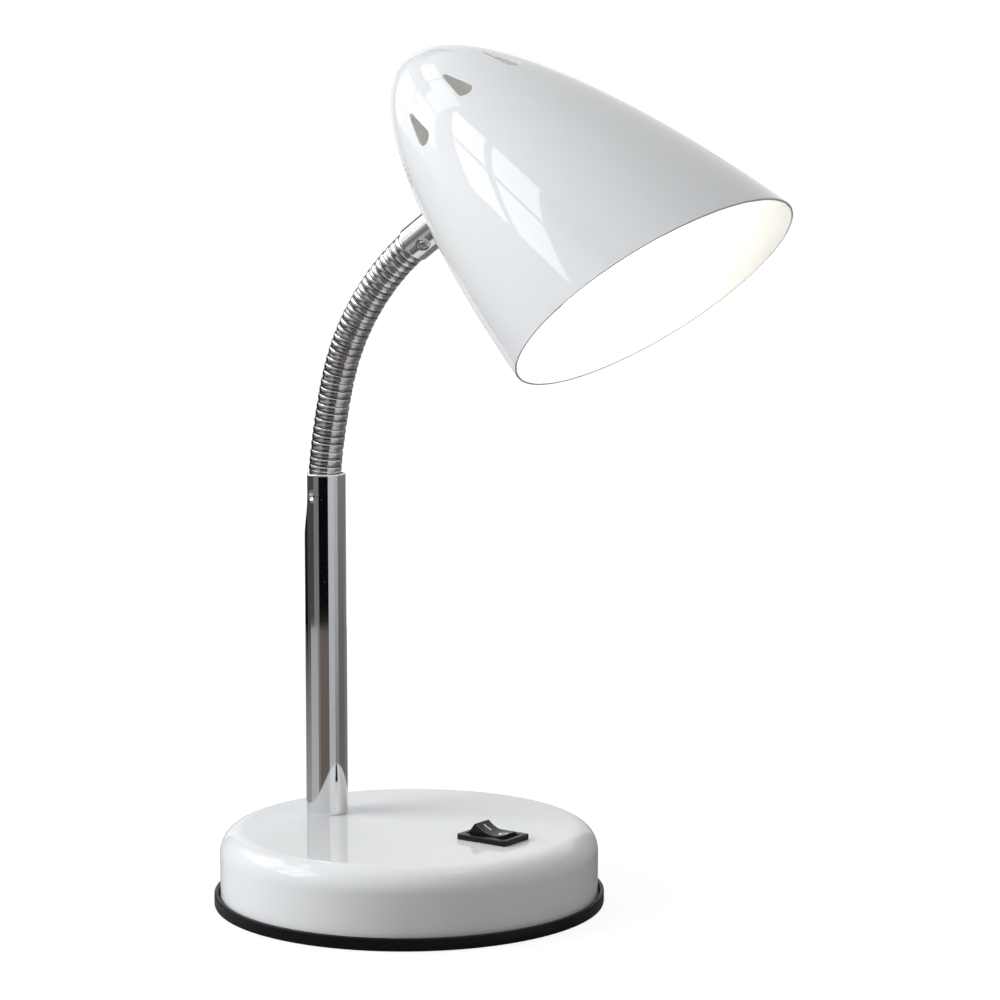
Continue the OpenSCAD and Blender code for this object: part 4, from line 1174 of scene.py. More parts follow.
    def root(self) -> Workpiece:
        """Root inside the stem, with the first ball lip, in the frame of the first pivot."""
        foot = -self.root_len
        profile = [(self.bore_r, foot), (self.r - self.root_edge, foot),
                   (self.r, foot + self.root_edge), (self.r, -self.foot_gap)]
        lip = [point for point in self.lip(0.0) if point[1] > -NECK.first_up]
        inner = self.ball_r - self.throat
        throat = [(inner, -self.foot_gap), (inner, -NECK.first_up)]
        return Workpiece.turned(profile + throat + lip, 96, True)

    def collar(self) -> Workpiece:
        """Collar that ends against the shade, with a seat for its screw."""
        r, low, c = self.collar_r, self.foot_gap, self.collar_edge
        past_shade = 99.0
        rows = [(r, low + 0.6 + 0.35 * i) for i in range(1, 46)]
        profile = (
            arc((r - c, low + c), c, -90, 0, 5) + rows
            + [(r, past_shade), (self.bore_r, past_shade)] + self.socket()
        )

        def fitted(place: Vector) -> Vector:
            """Ends the collar at the shade and presses the screw's seat into it."""
            top = BELL.neck_height(place.x, place.y)
            radius = math.hypot(place.x, place.y)
            angle = math.atan2(place.y, place.x)
            if radius > r - 0.1:
                side = r * (angle - math.radians(self.screw_facing))
                away = math.hypot(side, place.z - self.screw_up)
                inside = min(1.0, max(0.0, (self.seat_r - away) / 0.5))
                radius -= self.seat_depth * inside
            return Vector((radius * math.cos(angle), radius * math.sin(angle), min(place.z, top)))

        return Workpiece.turned(profile, 120, True).shaped(fitted).merged().moved(NECK.head)

    def screw(self) -> Workpiece:
        """Grub screw with a cross recess."""
        top, low, c = self.collar_r + 0.25, self.bore_r + 0.5, 0.35
        profile = [(0.0, low), (self.screw_r, low)]
        profile += arc((self.screw_r - c, top - c), c, 0, 90, 4) + [(0.0, top + 0.05)]
        screw = Workpiece.turned(profile, 40)
        screw.less(*cross_recess(1.9, 0.44, top - 0.45, top + 1))
        turn = Matrix.Rotation(math.radians(self.screw_facing), 4, "Z")
        return screw.moved(NECK.head @ turn @ Matrix.Translation((0, 0, self.screw_up)) @ SIDEWAYS)


@dataclass
class Shade(Assembly):
    """Spun bell shade with a slanted rim and drop-shaped vents."""

    wall: float = 0.8
    edge: float = 0.28
    vents: int = 8
    vent_step: float = 40.0
    vent_first: float = 33.3
    vent_at: float = 34.2
    vent_len: float = 16.2
    vent_small: float = 0.8
    vent_big: float = 2.8
    band_low: float = 24.5
    band_high: float = 43.5
    columns: int = 24
    rows: int = 16
    rings: int = 7
    crowding: float = 1.25
    corner_shares: tuple[float, float] = (0.14, 0.7)
    nose_rows: int = 18
    skirt_rows: int = 56

    def build(self) -> None:
        """Builds the shade."""
        self.publish("enamelled_shade", self.bell(), Slot.ENAMEL, "head", ["shade"], sharp=50.0)

    def on_bell(self, angle: float, s: float) -> Vector:
        """Gives the point of the outer skin at an angle in radians and a distance from the apex."""
        r = BELL.radius(s)
        return Vector((r * math.cos(angle), r * math.sin(angle), s))

    def drop(self, share: float) -> tuple[float, float]:
        """Gives the point on half a vent's outline at a share of its length.

        Args:
            share: 0 at the narrow end and 1 at the wide end.

        Returns:
            Place along the vent and out from its middle line.
        """
        span = self.vent_len - self.vent_small - self.vent_big
        swing = math.asin((self.vent_big - self.vent_small) / span)
        start = self.vent_small - self.vent_len / 2
        first = self.vent_small * (QUARTER - swing)
        straight = span * math.cos(swing)
        run = share * (first + straight + self.vent_big * (QUARTER + swing))
        if run < first:
            a = run / self.vent_small
            return start - self.vent_small * math.cos(a), self.vent_small * math.sin(a)
        if run < first + straight:
            t = run - first
            x = start - self.vent_small * math.sin(swing) + t * math.cos(swing)
            return x, self.vent_small * math.cos(swing) + t * math.sin(swing)
        a = QUARTER + swing - (run - first - straight) / self.vent_big
        return start + span + self.vent_big * math.cos(a), self.vent_big * math.sin(a)

    def on_skin(self, x: float, y: float) -> tuple[float, float]:
        """Carries a point of a vent's flat outline square to it onto the skin.

        Args:
            x: Place along the vent.
            y: Place across it.

        Returns:
            Angle from the vent's middle line and distance from the apex.
        """
        flare = BELL.flare(self.vent_at)
        r0 = BELL.radius(self.vent_at)
        low, high = -8.0, 8.0
        for _ in range(ROUNDS):
            depth = (low + high) / 2
            out = r0 + x * math.sin(flare) - depth * math.cos(flare)
            s = self.vent_at + x * math.cos(flare) + depth * math.sin(flare)
            if math.hypot(out, y) > BELL.radius(s):
                low = depth
            else:
                high = depth
        return math.atan2(y, out), s

    def folded(self, index: int) -> tuple[int, float]:
        """Gives how far a border point lies from the first one, and its side's sign."""
        full = 2 * (self.columns + self.rows)
        i = index % full
        return (i, 1.0) if i <= full // 2 else (full - i, -1.0)

    def frame_point(self, index: int) -> tuple[float, float]:
        """Gives a point of a sector's border, counted from the middle of its upper side.

        Args:
            index: Number of the point, towards the positive side first.

        Returns:
            Angle in radians from the sector's middle and distance from the apex.
        """
        half, rows = self.columns // 2, self.rows
        reach = math.radians(self.vent_step / 2)
        i, side = self.folded(index)
        if i <= half:
            return side * reach * i / half, self.band_low
        if i <= half + rows:
            share = (i - half) / rows
            return side * reach, self.band_low + share * (self.band_high - self.band_low)
        return side * reach * (self.columns + rows - i) / half, self.band_high

    def hole_point(self, index: int) -> tuple[float, float]:
        """Gives the point of the vent's edge that faces a point of the sector's border."""
        half, rows = self.columns // 2, self.rows
        upper, lower = self.corner_shares
        i, side = self.folded(index)
        if i <= half:
            share = upper * i / half
        elif i <= half + rows:
            share = upper + (lower - upper) * (i - half) / rows
        else:
            share = lower + (1.0 - lower) * (i - half - rows) / half
        x, y = self.drop(share)
        return self.on_skin(x, side * y)

    def vent_sector(self) -> Workpiece:
        """Sector of the skin around one vent, as rings from its border to the vent's edge."""
        count = 2 * (self.columns + self.rows)
        work = Workpiece.ring(2.0, 1.0, count)
        spokes = [edge for edge in work.bm.edges
                  if abs(edge.verts[0].co.length - edge.verts[1].co.length) > 0.5]
        bmesh.ops.subdivide_edges(work.bm, edges=spokes, cuts=self.rings - 1, use_grid_fill=True)

        def laid(place: Vector) -> Vector:
            """Carries a point of the flat ring onto the skin."""
            share = min(1.0, max(0.0, 2.0 - math.hypot(place.x, place.y)))
            index = round(math.atan2(place.y, place.x) / math.tau * count)
            share = 1 - (1 - share) ** self.crowding
            border, hole = self.frame_point(index), self.hole_point(index)
            return self.on_bell(*(b + (h - b) * share for b, h in zip(border, hole)))

        return work.shaped(laid)

    def skin(self) -> Workpiece:
        """Outer skin, with its vents and its slanted rim."""
        sectors = round(360 / self.vent_step)
        steps = sectors * self.columns
        start = self.vent_first - self.vent_step / 2
        mark = 1000.0  # height from which a row belongs to the skirt
        nose = [(1.0, self.band_low * (i / self.nose_rows) ** 2)
                for i in range(self.nose_rows + 1)]
        skirt = [(1.0, mark + i / self.skirt_rows) for i in range(self.skirt_rows + 1)]
        spare = [(1.0, self.band_low + (self.band_high - self.band_low) * i / self.rows)
                 for i in range(self.rows + 1)]

        def bell(place: Vector) -> Vector:
            """Carries a point of a plain tube onto the skin."""
            angle = math.atan2(place.y, place.x)
            s = place.z
            if s > mark - 1:
                s = self.band_high + (s - mark) * (BELL.rim(angle) - self.band_high)
            return self.on_bell(angle, s)

        work = Workpiece.turned(nose, steps, start=start).shaped(bell)
        work.with_(Workpiece.turned(skirt, steps, start=start).shaped(bell))
        plain = Workpiece.turned(spare, steps, start=start)
        first = math.radians(start)
        last = math.radians(self.vent_step) * self.vents
        middle = [f for f in plain.bm.faces
                  if (math.atan2(f.calc_center_median().y, f.calc_center_median().x) - first)
                  % math.tau < last]
        bmesh.ops.delete(plain.bm, geom=middle, context="FACES")
        work.with_(plain.shaped(bell))
        sector = self.vent_sector()
        for i in range(self.vents):
            turn = math.radians(self.vent_first + i * self.vent_step)
            work.with_(sector.copy().moved(Matrix.Rotation(turn, 4, "Z")))
        bmesh.ops.remove_doubles(work.bm, verts=work.bm.verts, dist=0.004)
        bmesh.ops.recalc_face_normals(work.bm, faces=work.bm.faces)
        return work

    def bell(self) -> Workpiece:
        """Shade with its wall and rounded edges."""
        return self.skin().walled(self.wall).softened(self.edge, 3, 60).moved(BELL.frame(NECK))


@dataclass
class Lampholder(Assembly):
    """What hangs in the shade: bracket, nuts, lampholder and bulb."""

    bracket_w: float = 13.0
    bracket_t: float = 1.5
    bracket_at: float = 32.0
    bracket_foot: float = 8.0
    bracket_bend: float = 3.0
    nut_flats: float = 14.0
    nut_h: float = 3.5
    thread_r: float = 5.0
    r: float = 13.5
    cap_len: float = 17.0
    skirt_len: float = 23.0
    floor: float = 1.2
    tip_gap: float = 0.6
    entry_r: float = 5.0
    dome_r: float = 6.0
    cap_bore_r: float = 11.5
    ribs: int = 24
    rib_depth: float = 0.035
    skirt_turns: int = 5
    skirt_pitch: float = 2.6
    skirt_groove: float = 0.9
    globe_r: float = 22.5
    globe_from: float = -36.0
    bulb_len: float = 71.0
    throat_at: float = 22.0
    throat_steps: int = 14
    bulb_thread_r: float = 6.9
    bulb_root_r: float = 6.3
    bulb_pitch: float = 2.8
    bulb_turns: int = 4
    washers: tuple[float, float, float] = (0.75, 1.0, 1.0)

    def build(self) -> None:
        """Builds the lampholder and the bulb."""
        shade = BELL.frame(NECK)
        gap, washer, lock_washer = self.washers
        bracket_up = BELL.neck_height(0.0, 0.0, 0.0) + Shade.wall + gap + washer
        nut_up = bracket_up + self.bracket_t + lock_washer
        self.publish_all("head", (
            ("bent_bracket", self.bracket(bracket_up), Slot.ZINC, ["holder_bracket"]),
            ("neck_fixing_nut", self.nut(nut_up).moved(NECK.head), Slot.ZINC, ["head_nut"]),
            ("holder_fixing_nut", self.nut(self.bracket_at - self.nut_h).moved(shade), Slot.ZINC,
             ["holder_nut"]),
            ("ribbed_holder_cap", self.cap().moved(shade), Slot.HOLDER, ["holder_cap"]),
            ("threaded_holder_skirt", self.skirt().moved(shade), Slot.HOLDER, ["holder_skirt"]),
            ("opal_bulb", self.glass().moved(shade), Slot.OPAL, ["bulb_globe", "bulb_collar"]),
            ("bulb_screw_cap", self.bulb_cap().moved(shade), Slot.CAP, ["bulb_cap"]),
        ))

    @property
    def cap_back(self) -> float:
        """Distance of the lampholder's closed end from the apex."""
        return self.bracket_at + self.bracket_t

    @property
    def skirt_back(self) -> float:
        """Distance of the lampholder's skirt from the apex."""
        return self.cap_back + self.cap_len

    @property
    def tip_back(self) -> float:
        """Distance of the bulb's tip from the apex."""
        return self.skirt_back + self.floor + self.tip_gap

    def nut(self, low: float) -> Workpiece:
        """Hexagonal nut with turned-off corners, standing on a height."""
        flat, sixth = self.nut_flats / 2, math.pi / 6
        corner = flat / math.cos(sixth)
        high = low + self.nut_h
        steps = (0.0, 0.15, 0.4, 0.8)
        rows = (*steps, self.nut_h / 2, *(self.nut_h - step for step in reversed(steps)))
        outer = [(corner, low + row) for row in rows]
        chamfer = 0.4
        r, wide = self.thread_r, self.thread_r + chamfer
        bore = [(wide, high), (r, high - chamfer), (r, low + chamfer), (wide, low)]

        def hexed(place: Vector) -> Vector:
            """Gives a turned point its place on the hexagon, under the chamfer's cone."""
            if math.hypot(place.x, place.y) < self.thread_r + 0.6:
                return place
            angle = math.atan2(place.y, place.x)
            off = (angle + sixth) % (2 * sixth) - sixth
            end = min(place.z - low, high - place.z)
            out = min(flat / math.cos(off), flat - 0.25 + 1.9 * end)
            return Vector((out * math.cos(angle), out * math.sin(angle), place.z))

        return Workpiece.turned(outer + bore, 72, True).shaped(hexed).merged()

    def bracket(self, up: float) -> Workpiece:
        """Strip bent from the shade's wall to the lampholder, with rounded bend and ends."""
        turn = math.radians(BELL.turn)

        def in_shade(x: float, z: float) -> Vector:
            """Gives a point of the neck's plane in the shade's frame."""
            back = z - BELL.neck_to_axis
            return Vector((x * math.cos(turn) - back * math.sin(turn), 0.0,
                           BELL.apex_to_neck + x * math.sin(turn) + back * math.cos(turn)))

        half = self.bracket_t / 2
        level = self.bracket_at + half
        foot = in_shade(self.bracket_foot, up + half)
        along = (in_shade(-1.0, up + half) - in_shade(0.0, up + half)).normalized()
        corner = foot + along * ((level - foot.z) / along.z)
        bend, inner = self.bracket_bend, Vector((-1.0, 0.0, 0.0))
        a, b = corner - along * bend, corner + inner * bend
        rise_steps, bend_steps, level_steps = 14, 8, 40
        points = [foot + (corner - foot) * (i / rise_steps) * (1 - bend / (corner - foot).length)
                  for i in range(rise_steps + 1)]
        for i in range(1, bend_steps):
            t = i / bend_steps
            points.append(a * (1 - t) ** 2 + corner * 2 * t * (1 - t) + b * t**2)
        end_x = -self.bracket_w / 2
        for i in range(level_steps + 1):
            share = 1 - (1 - i / level_steps) ** 1.5  # closer where the end is round
            points.append(Vector((b.x + (end_x - b.x) * share, 0.0, level)))
        work = Workpiece()
        verts = [work.bm.verts.new(point) for point in points]
        edges = [work.bm.edges.new(pair) for pair in zip(verts, verts[1:])]
        grown = bmesh.ops.extrude_edge_only(work.bm, edges=edges)
        far = {v for v in grown["geom"] if isinstance(v, bmesh.types.BMVert)}
        for vert in work.bm.verts:
            width = self.bracket_w / 2
            if vert.co.x < 0:
                width = math.sqrt(max(0.02, width**2 - vert.co.x**2))
            vert.co.y = width if vert in far else -width
        bmesh.ops.recalc_face_normals(work.bm, faces=work.bm.faces)
        strip = work.walled(self.bracket_t, offset=0.0, even=False)
        return strip.softened(0.25, 2, 60).moved(BELL.frame(NECK))

    def cap(self) -> Workpiece:
        """Domed cap with grip ribs."""
        back, r, dome_r = self.cap_back, self.r, self.dome_r
        mouth, bore = back + self.cap_len, self.cap_bore_r
        dome = arc((r - dome_r, back + dome_r), dome_r, -90, 0, 8)
        side = [(r, back + up) for up in (6.5, 7.0, 15.0, 15.5, 16.7)]
        inside = [(r - 0.3, mouth), (bore, mouth), (bore, back + dome_r),
                  (self.entry_r, back + dome_r)]
        profile = [(self.entry_r, back)] + dome + side + inside

        def ribbed(place: Vector) -> Vector:
            """Presses grooves between the ribs."""
            if math.hypot(place.x, place.y) > r - 0.1 and back + 6.8 < place.z < back + 15.2:
                angle = math.atan2(place.y, place.x)
                shrink = 1 - self.rib_depth * (math.cos(self.ribs * angle) > 0.1)
                return Vector((place.x * shrink, place.y * shrink, place.z))
            return place

        return Workpiece.turned(profile, 192, True).shaped(ribbed)

    def skirt(self) -> Workpiece:
        """Skirt with rings of thread outside and a rounded mouth."""
        back, r = self.skirt_back, self.r
        groove_r, c = r - self.skirt_groove, 0.6
        outer = [(r - 0.3, back), (r, back + 0.3), (r, back + 4.0)]
        for i in range(self.skirt_turns):
            low = back + 5.0 + self.skirt_pitch * i
            outer += [(groove_r, low), (groove_r, low + 0.8), (r, low + 1.3), (r, low + 2.1)]
        end = back + self.skirt_len - c
        mouth = arc((r - c, end), c, 0, 90, 4) + arc((10.1, end), c, 90, 180, 4)
        inner = [(9.5, back + 4.0), (7.6, back + 4.0), (7.6, back + self.floor),
                 (2.2, back + self.floor), (2.2, back)]
        return Workpiece.turned(outer + mouth + inner, 96, True)

    def glass(self) -> Workpiece:
        """Opal glass from the cap's rim to the top of the globe."""
        centre = self.tip_back + self.bulb_len - self.globe_r
        low = self.tip_back + self.throat_at
        leave = math.radians(self.globe_from)
        start = (8.0, low)
        join = (self.globe_r * math.cos(leave), centre + self.globe_r * math.sin(leave))
        pull = (8.2, low + 7.5)
        push = (join[0] - 5.0 * math.sin(-leave), join[1] - 5.0 * math.cos(leave))
        throat = []
        for i in range(1, self.throat_steps):
            t = i / self.throat_steps
            weights = ((1 - t) ** 3, 3 * t * (1 - t) ** 2, 3 * t * t * (1 - t), t**3)
            throat.append(tuple(sum(w * p[axis] for w, p in zip(weights, (start, pull, push, join)))
                                for axis in (0, 1)))
        globe = arc((0.0, centre), self.globe_r, self.globe_from, 90, 40)
        globe[-1] = (0.0, globe[-1][1])
        return Workpiece.turned([(0.0, low), (7.6, low), start] + throat + globe, 128)

    def bulb_cap(self) -> Workpiece:
        """Threaded metal cap, its thread in rounded turns."""
        back, root, pitch = self.tip_back + 3.0, self.bulb_root_r, self.bulb_pitch
        depth, steps = self.bulb_thread_r - root, 4
        profile = [(0.0, back), (root, back)]
        for i in range(self.bulb_turns):
            low = back + 1.0 + pitch * i
            profile += [(self.bulb_thread_r - depth * math.cos(math.pi * j / steps) ** 2,
                         low + pitch * j / steps * 0.999) for j in range(steps)]
        profile += [(root, back + 12.5), (6.5, back + 14.0), (7.4, back + 18.6), (7.4, back + 19.0),
                    (0.0, back + 19.0)]
        return Workpiece.turned(profile, 80)


@dataclass
class RockerSwitch(Assembly):
    """Snap-in rocker switch with its two marks."""

    x: float = 37.0
    top: float = 27.6
    bezel: tuple[float, float, float] = (21.0, 15.0, 2.0)
    body: tuple[float, float, float] = (19.0, 12.6, 12.0)
    window: tuple[float, float] = (17.0, 9.2)
    pivot_z: float = 27.5
    tilt: float = 13.0
    half: float = 8.2
    corner: float = 6.1
    rise: float = 4.6
    hollow_r: float = 12.0
    width: float = 8.6
    bezel_corner: float = 0.9
    pin_r: float = 1.2
    pin_reach: float = 5.7
    bar_mark: tuple[float, float, float] = (-3.1, 3.4, 0.7)
    ring_mark: tuple[float, float, float] = (3.75, 1.65, 0.95)

    def build(self) -> None:
        """Builds the switch."""
        self.publish("switch_bezel_and_body", self.housing(), Slot.SWITCH, "base",
                     ["switch_housing"])
        self.publish("rocker_paddle", self.paddle(), Slot.SWITCH, "rocker", ["switch_rocker"])
        self.publish("rocker_marks", self.marks(), Slot.BLOCK, "rocker")

    def housing(self) -> Workpiece:
        """Bezel and body with the rocker's window."""
        length, width, height = self.bezel
        plate = Workpiece.block((-length / 2, -width / 2, 0), (length / 2, width / 2, height))
        plate.softened(self.bezel_corner, 5, where=lambda edge: abs(
            edge.verts[0].co.z - edge.verts[1].co.z) > height / 2)
        long_, wide = (size / 2 for size in self.window)
        plate.less(Workpiece.block((-long_, -wide, -1), (long_, wide, height + 1)))
        plate.softened(0.35, 3, 60)
        length, width, depth = self.body
        body = Workpiece.block((-length / 2, -width / 2, -depth), (length / 2, width / 2, -0.02))
        body.less(Workpiece.block((-long_, -wide, -depth + 1.5), (long_, wide, 1)))
        body.softened(0.2, 2, 60)
        lugs = [Workpiece.plate([(side * 9.3, -1.2), (side * 10.15, -1.8), (side * 9.3, -4.2)],
                                -3, 3) for side in (1, -1)]
        return plate.with_(body, *lugs).moved(Matrix.Translation((self.x, 0, self.top)))

    def hollow(self, x: float) -> float:
        """Gives the height of the paddle's hollow top."""
        centre = self.rise + math.sqrt(self.hollow_r**2 - self.corner**2)
        return centre - math.sqrt(self.hollow_r**2 - x**2)

    @property
    def at_rocker(self) -> Matrix:
        """Frame of the rocker at rest."""
        turn = Matrix.Rotation(math.radians(self.tilt), 4, "Y")
        return Matrix.Translation((self.x, 0, self.pivot_z)) @ turn

    def paddle(self) -> Workpiece:
        """Paddle with a hollow top and its pivot pins."""
        steps, low = 20, -3.0
        across = [-self.corner + 2 * self.corner * i / steps for i in range(steps + 1)]
        top = [(x, self.hollow(x)) for x in across]
        outline = [(-self.half, 0.0)] + top + [(self.half, 0.0), (6.2, low), (-6.2, low)]
        paddle = Workpiece.plate(outline, -self.width / 2, self.width / 2).softened(0.32, 3, 28)
        pins = Workpiece.rod(self.pin_r, -self.pin_reach, self.pin_reach, 32)
        pins.moved(Matrix.Rotation(QUARTER, 4, "X"))
        boss = Workpiece.block((-2.2, -2.2, -5.4), (2.2, 2.2, -2.0)).softened(0.2, 2)
        return paddle.with_(pins, boss).moved(self.at_rocker)

    def marks(self) -> Workpiece:
        """Bar and ring printed on the paddle, a hair proud of it."""
        proud, ink = 0.03, 0.08
        place, length, width = self.bar_mark
        bar = Workpiece()
        fit = Matrix.Translation((place, 0, 0)) @ Matrix.Diagonal((length, width, 1, 1))
        bmesh.ops.create_grid(bar.bm, x_segments=10, y_segments=1, size=0.5, matrix=fit)
        place, outer_r, inner_r = self.ring_mark
        ring = Workpiece.ring(outer_r, inner_r, 40).moved(Matrix.Translation((place, 0, 0)))
        work = bar.with_(ring)
        work.shaped(lambda p: Vector((p.x, p.y, self.hollow(p.x) + proud)))
        for face in work.bm.faces:
            face.normal_update()
            if face.normal.z < 0:
                face.normal_flip()
        return work.walled(ink).moved(self.at_rocker)


@dataclass
class CarriedOver(Assembly):
    """CAD nodes whose form is right: inner hardware, wiring and contacts."""

    def build(self) -> None:
        """Gives each shown CAD node its slot's finish."""
        slots = {row["node"]: Slot(row["material_slot"]) for row in frame["record"]["subparts"]}
        for name, node in sorted(frame["nodes"].items()):
            if node.hide_render:
                continue
            node.data.materials.clear()
            node.data.materials.append(self.shop.material(slots[name]))
            log.info("%s: kept, finished as %s", name, slots[name].value)


# ------------------------------------------------------------------ studio


HEAD_MIDDLE = Vector((0.03, -0.03, 0.25))
COOL_WHITE = (0.96, 0.98, 1.0, 1.0)


def glossy_only(obj: bpy.types.Object) -> None:
    """Lets only reflections see a piece of the studio."""
    obj.visible_camera = False
    obj.visible_diffuse = False
    obj.visible_shadow = False
    obj.visible_transmission = False


@dataclass(frozen=True)
class Hanging(ABC):
    """Something flat that hangs around the lamp's head and faces it.

    Its bearing is in degrees from +X, its height angle in degrees above the head, and the rest in
    metres.
    """

    name: str
    bearing: float
    height_angle: float
    away: float
    width: float
    height: float

    @property
    def place(self) -> Matrix:
        """Its frame, with -Z towards the head and +Y up."""
        around, up = math.radians(self.bearing), math.radians(self.height_angle)
        out = Vector((math.cos(around) * math.cos(up), math.sin(around) * math.cos(up),
                      math.sin(up)))
        turn = (-out).to_track_quat("-Z", "Y").to_matrix().to_4x4()
        return Matrix.Translation(HEAD_MIDDLE + out * self.away) @ turn

    @abstractmethod
    def stand(self) -> None:
        """Puts it in its place."""


@dataclass(frozen=True)
class Softbox(Hanging):
    """Plain rectangular lamp that lights the object and doesn't show in its gloss."""

    watts: float

    def stand(self) -> None:
        """Hangs the lamp."""
        light = bpy.data.lights.new(self.name, "AREA")
        light.shape = "RECTANGLE"
        light.size, light.size_y = self.width, self.height
        light.energy = self.watts
        obj = bpy.data.objects.new(self.name, light)
        obj.matrix_world = self.place
        obj.visible_glossy = False
        bpy.context.scene.collection.objects.link(obj)


@dataclass(frozen=True)
class Window(Hanging):
    """Bright window with bars, which only reflections see."""

    glow: float
    panes: tuple[int, int] = (2, 2)
    bar: float = 0.05

    def stand(self) -> None:
        """Stands the window's panes."""
        across, down = self.panes
        size = ((self.width - self.bar * (across - 1)) / across,
                (self.height - self.bar * (down - 1)) / down)
        work = Workpiece()
        for i in range(across):
            for j in range(down):
                place = Vector(((i - (across - 1) / 2) * (size[0] + self.bar),
                                (j - (down - 1) / 2) * (size[1] + self.bar), 0))
                fit = Matrix.Translation(place) @ Matrix.Diagonal((*size, 1.0, 1.0))
                bmesh.ops.create_grid(work.bm, x_segments=1, y_segments=1, size=0.5, matrix=fit)
        obj = work.moved(self.place).as_object(self.name, 1.0)
        bench = NodeBench(self.name)
        light = bench.add("ShaderNodeEmission")
        light.inputs["Color"].default_value = COOL_WHITE
        light.inputs["Strength"].default_value = self.glow
        bench.link(light.outputs[0], bench.tree.nodes["Material Output"].inputs["Surface"])
        obj.data.materials.append(bench.material)
        glossy_only(obj)


@dataclass(frozen=True)
class Surround:
    """Arc of the dim room or of the table, which only the reflections in polished metal see."""

    name: str
    bearings: tuple[float, float]
    low: tuple[float, float]
    high: tuple[float, float]
    low_tone: Colour
    high_tone: Colour

    def stand(self) -> None:
        """Stands the arc around the stem, from its lower edge to its upper or outer one.

        The edges are distances from the stem and heights, in metres, and the tones are linear.
        """
        start, end = (math.radians(bearing) for bearing in self.bearings)
        work = Workpiece()
        verts = [work.bm.verts.new((r, 0.0, z)) for r, z in (self.low, self.high)]
        edge = work.bm.edges.new(verts)
        bmesh.ops.spin(work.bm, geom=[*verts, edge], cent=(0, 0, 0), axis=(0, 0, 1), dvec=(0, 0, 0),
                       angle=end - start, steps=24, use_merge=False)
        reach = [math.hypot(v.co.x, v.co.y) + v.co.z for v in work.bm.verts]
        layer = work.bm.verts.layers.float.new("outward")
        for vert, out in zip(work.bm.verts, reach):
            vert[layer] = float(out > sum(self.low) + 1e-5)
        stem = Matrix.Translation((NECK.stem_x * MM, 0.0, 0.0))
        obj = work.moved(stem @ Matrix.Rotation(start, 4, "Z")).as_object(self.name, 1.0)
        bench = NodeBench(self.name)
        outward = bench.add("ShaderNodeAttribute", attribute_name="outward").outputs["Fac"]
        glow = bench.add("ShaderNodeEmission")
        bench.link(bench.blend(outward, self.low_tone, self.high_tone), glow.inputs["Color"])
        bench.link(glow.outputs[0], bench.tree.nodes["Material Output"].inputs["Surface"])
        obj.data.materials.append(bench.material)
        glossy_only(obj)


LIGHTS = (
    Softbox("key_light", -138.0, 25.0, 1.6, 1.1, 1.0, 21.3),
    Softbox("low_light", -135.0, 2.0, 1.4, 1.0, 0.4, 3.7),
    Softbox("back_light", 128.0, 45.0, 1.6, 0.9, 0.7, 5.2),
    Softbox("right_light", 20.0, 45.0, 1.6, 1.2, 0.7, 3.1),
)
WINDOWS = (
    Window("front_window", -137.0, 30.0, 1.6, 0.56, 0.85, 7.0),
    Window("rear_window", 188.0, 33.0, 1.6, 0.8, 1.1, 4.0),
)


def room() -> list[Surround]:
    """Gives the room and the table that the photograph's polished metal shows, left to right."""
    near, edge, dark, top = 0.11, 0.6, 0.115, 0.3
    black, soot, dusk = (0.003, 0.003, 0.004), (0.06, 0.062, 0.066), (0.2, 0.19, 0.175)
    brown, pale, bright = (0.135, 0.118, 0.1), (0.36, 0.355, 0.35), (0.46, 0.47, 0.5)
    slate, white = (0.13, 0.135, 0.14), (0.75, 0.76, 0.78)
    return [
        Surround("room_behind", (100, 150), (edge, 0.0), (edge, 0.4), white, white),
        Surround("room_behind_left", (-210, -168), (edge, 0.0), (edge, top), black, soot),
        Surround("room_behind_left_high", (143, 163), (edge, top), (edge, 0.9), soot, dusk),
        Surround("room_left", (-168, -118), (edge, 0.0), (edge, dark), soot, soot),
        Surround("room_left_near", (-118, -88), (edge, 0.0), (edge, dark), dusk, dusk),
        Surround("room_left_high", (-168, -88), (edge, dark), (edge, top), slate, bright),
        Surround("room_front", (-88, -36), (edge, 0.0), (edge, dark), black, black),
        Surround("room_front_high", (-88, -36), (edge, dark), (edge, top), brown, pale),
        Surround("room_window_side", (-36, -2), (edge, 0.0), (edge, top), bright, white),
        Surround("room_corner", (-2, 20), (edge, 0.0), (edge, top), pale, white),
        Surround("room_right", (20, 66), (edge, 0.0), (edge, top), slate, pale),
        Surround("room_behind_right", (66, 100), (edge, 0.0), (edge, top), dusk, dusk),
        Surround("ceiling_beam", (-230, -160), (0.55, 0.64), (0.55, 0.82), dusk, dusk),
        Surround("ceiling_beam_near", (-112, -60), (0.55, 0.64), (0.55, 0.82), dusk, dusk),
        Surround("table_behind_left", (-200, -168), (0.08, 0.001), (edge, 0.001), pale, black),
        Surround("table_left_edge", (-168, -143), (0.08, 0.001), (edge, 0.001), pale, soot),
        Surround("table_left", (-143, -96), (0.08, 0.001), (edge, 0.001), bright, pale),
        Surround("table_left_near", (-96, -84), (near, 0.001), (edge, 0.001), dusk, dusk),
        Surround("table_front", (-84, -36), (near, 0.001), (edge, 0.001), brown, brown),
        Surround("table_window_side", (-36, -2), (near, 0.001), (edge, 0.001), bright, bright),
        Surround("table_corner", (-2, 20), (near, 0.001), (edge, 0.001), dusk, pale),
        Surround("table_right", (20, 66), (near, 0.001), (edge, 0.001), slate, slate),
        Surround("table_behind_right", (66, 100), (near, 0.001), (edge, 0.001), dusk, dusk),
    ]


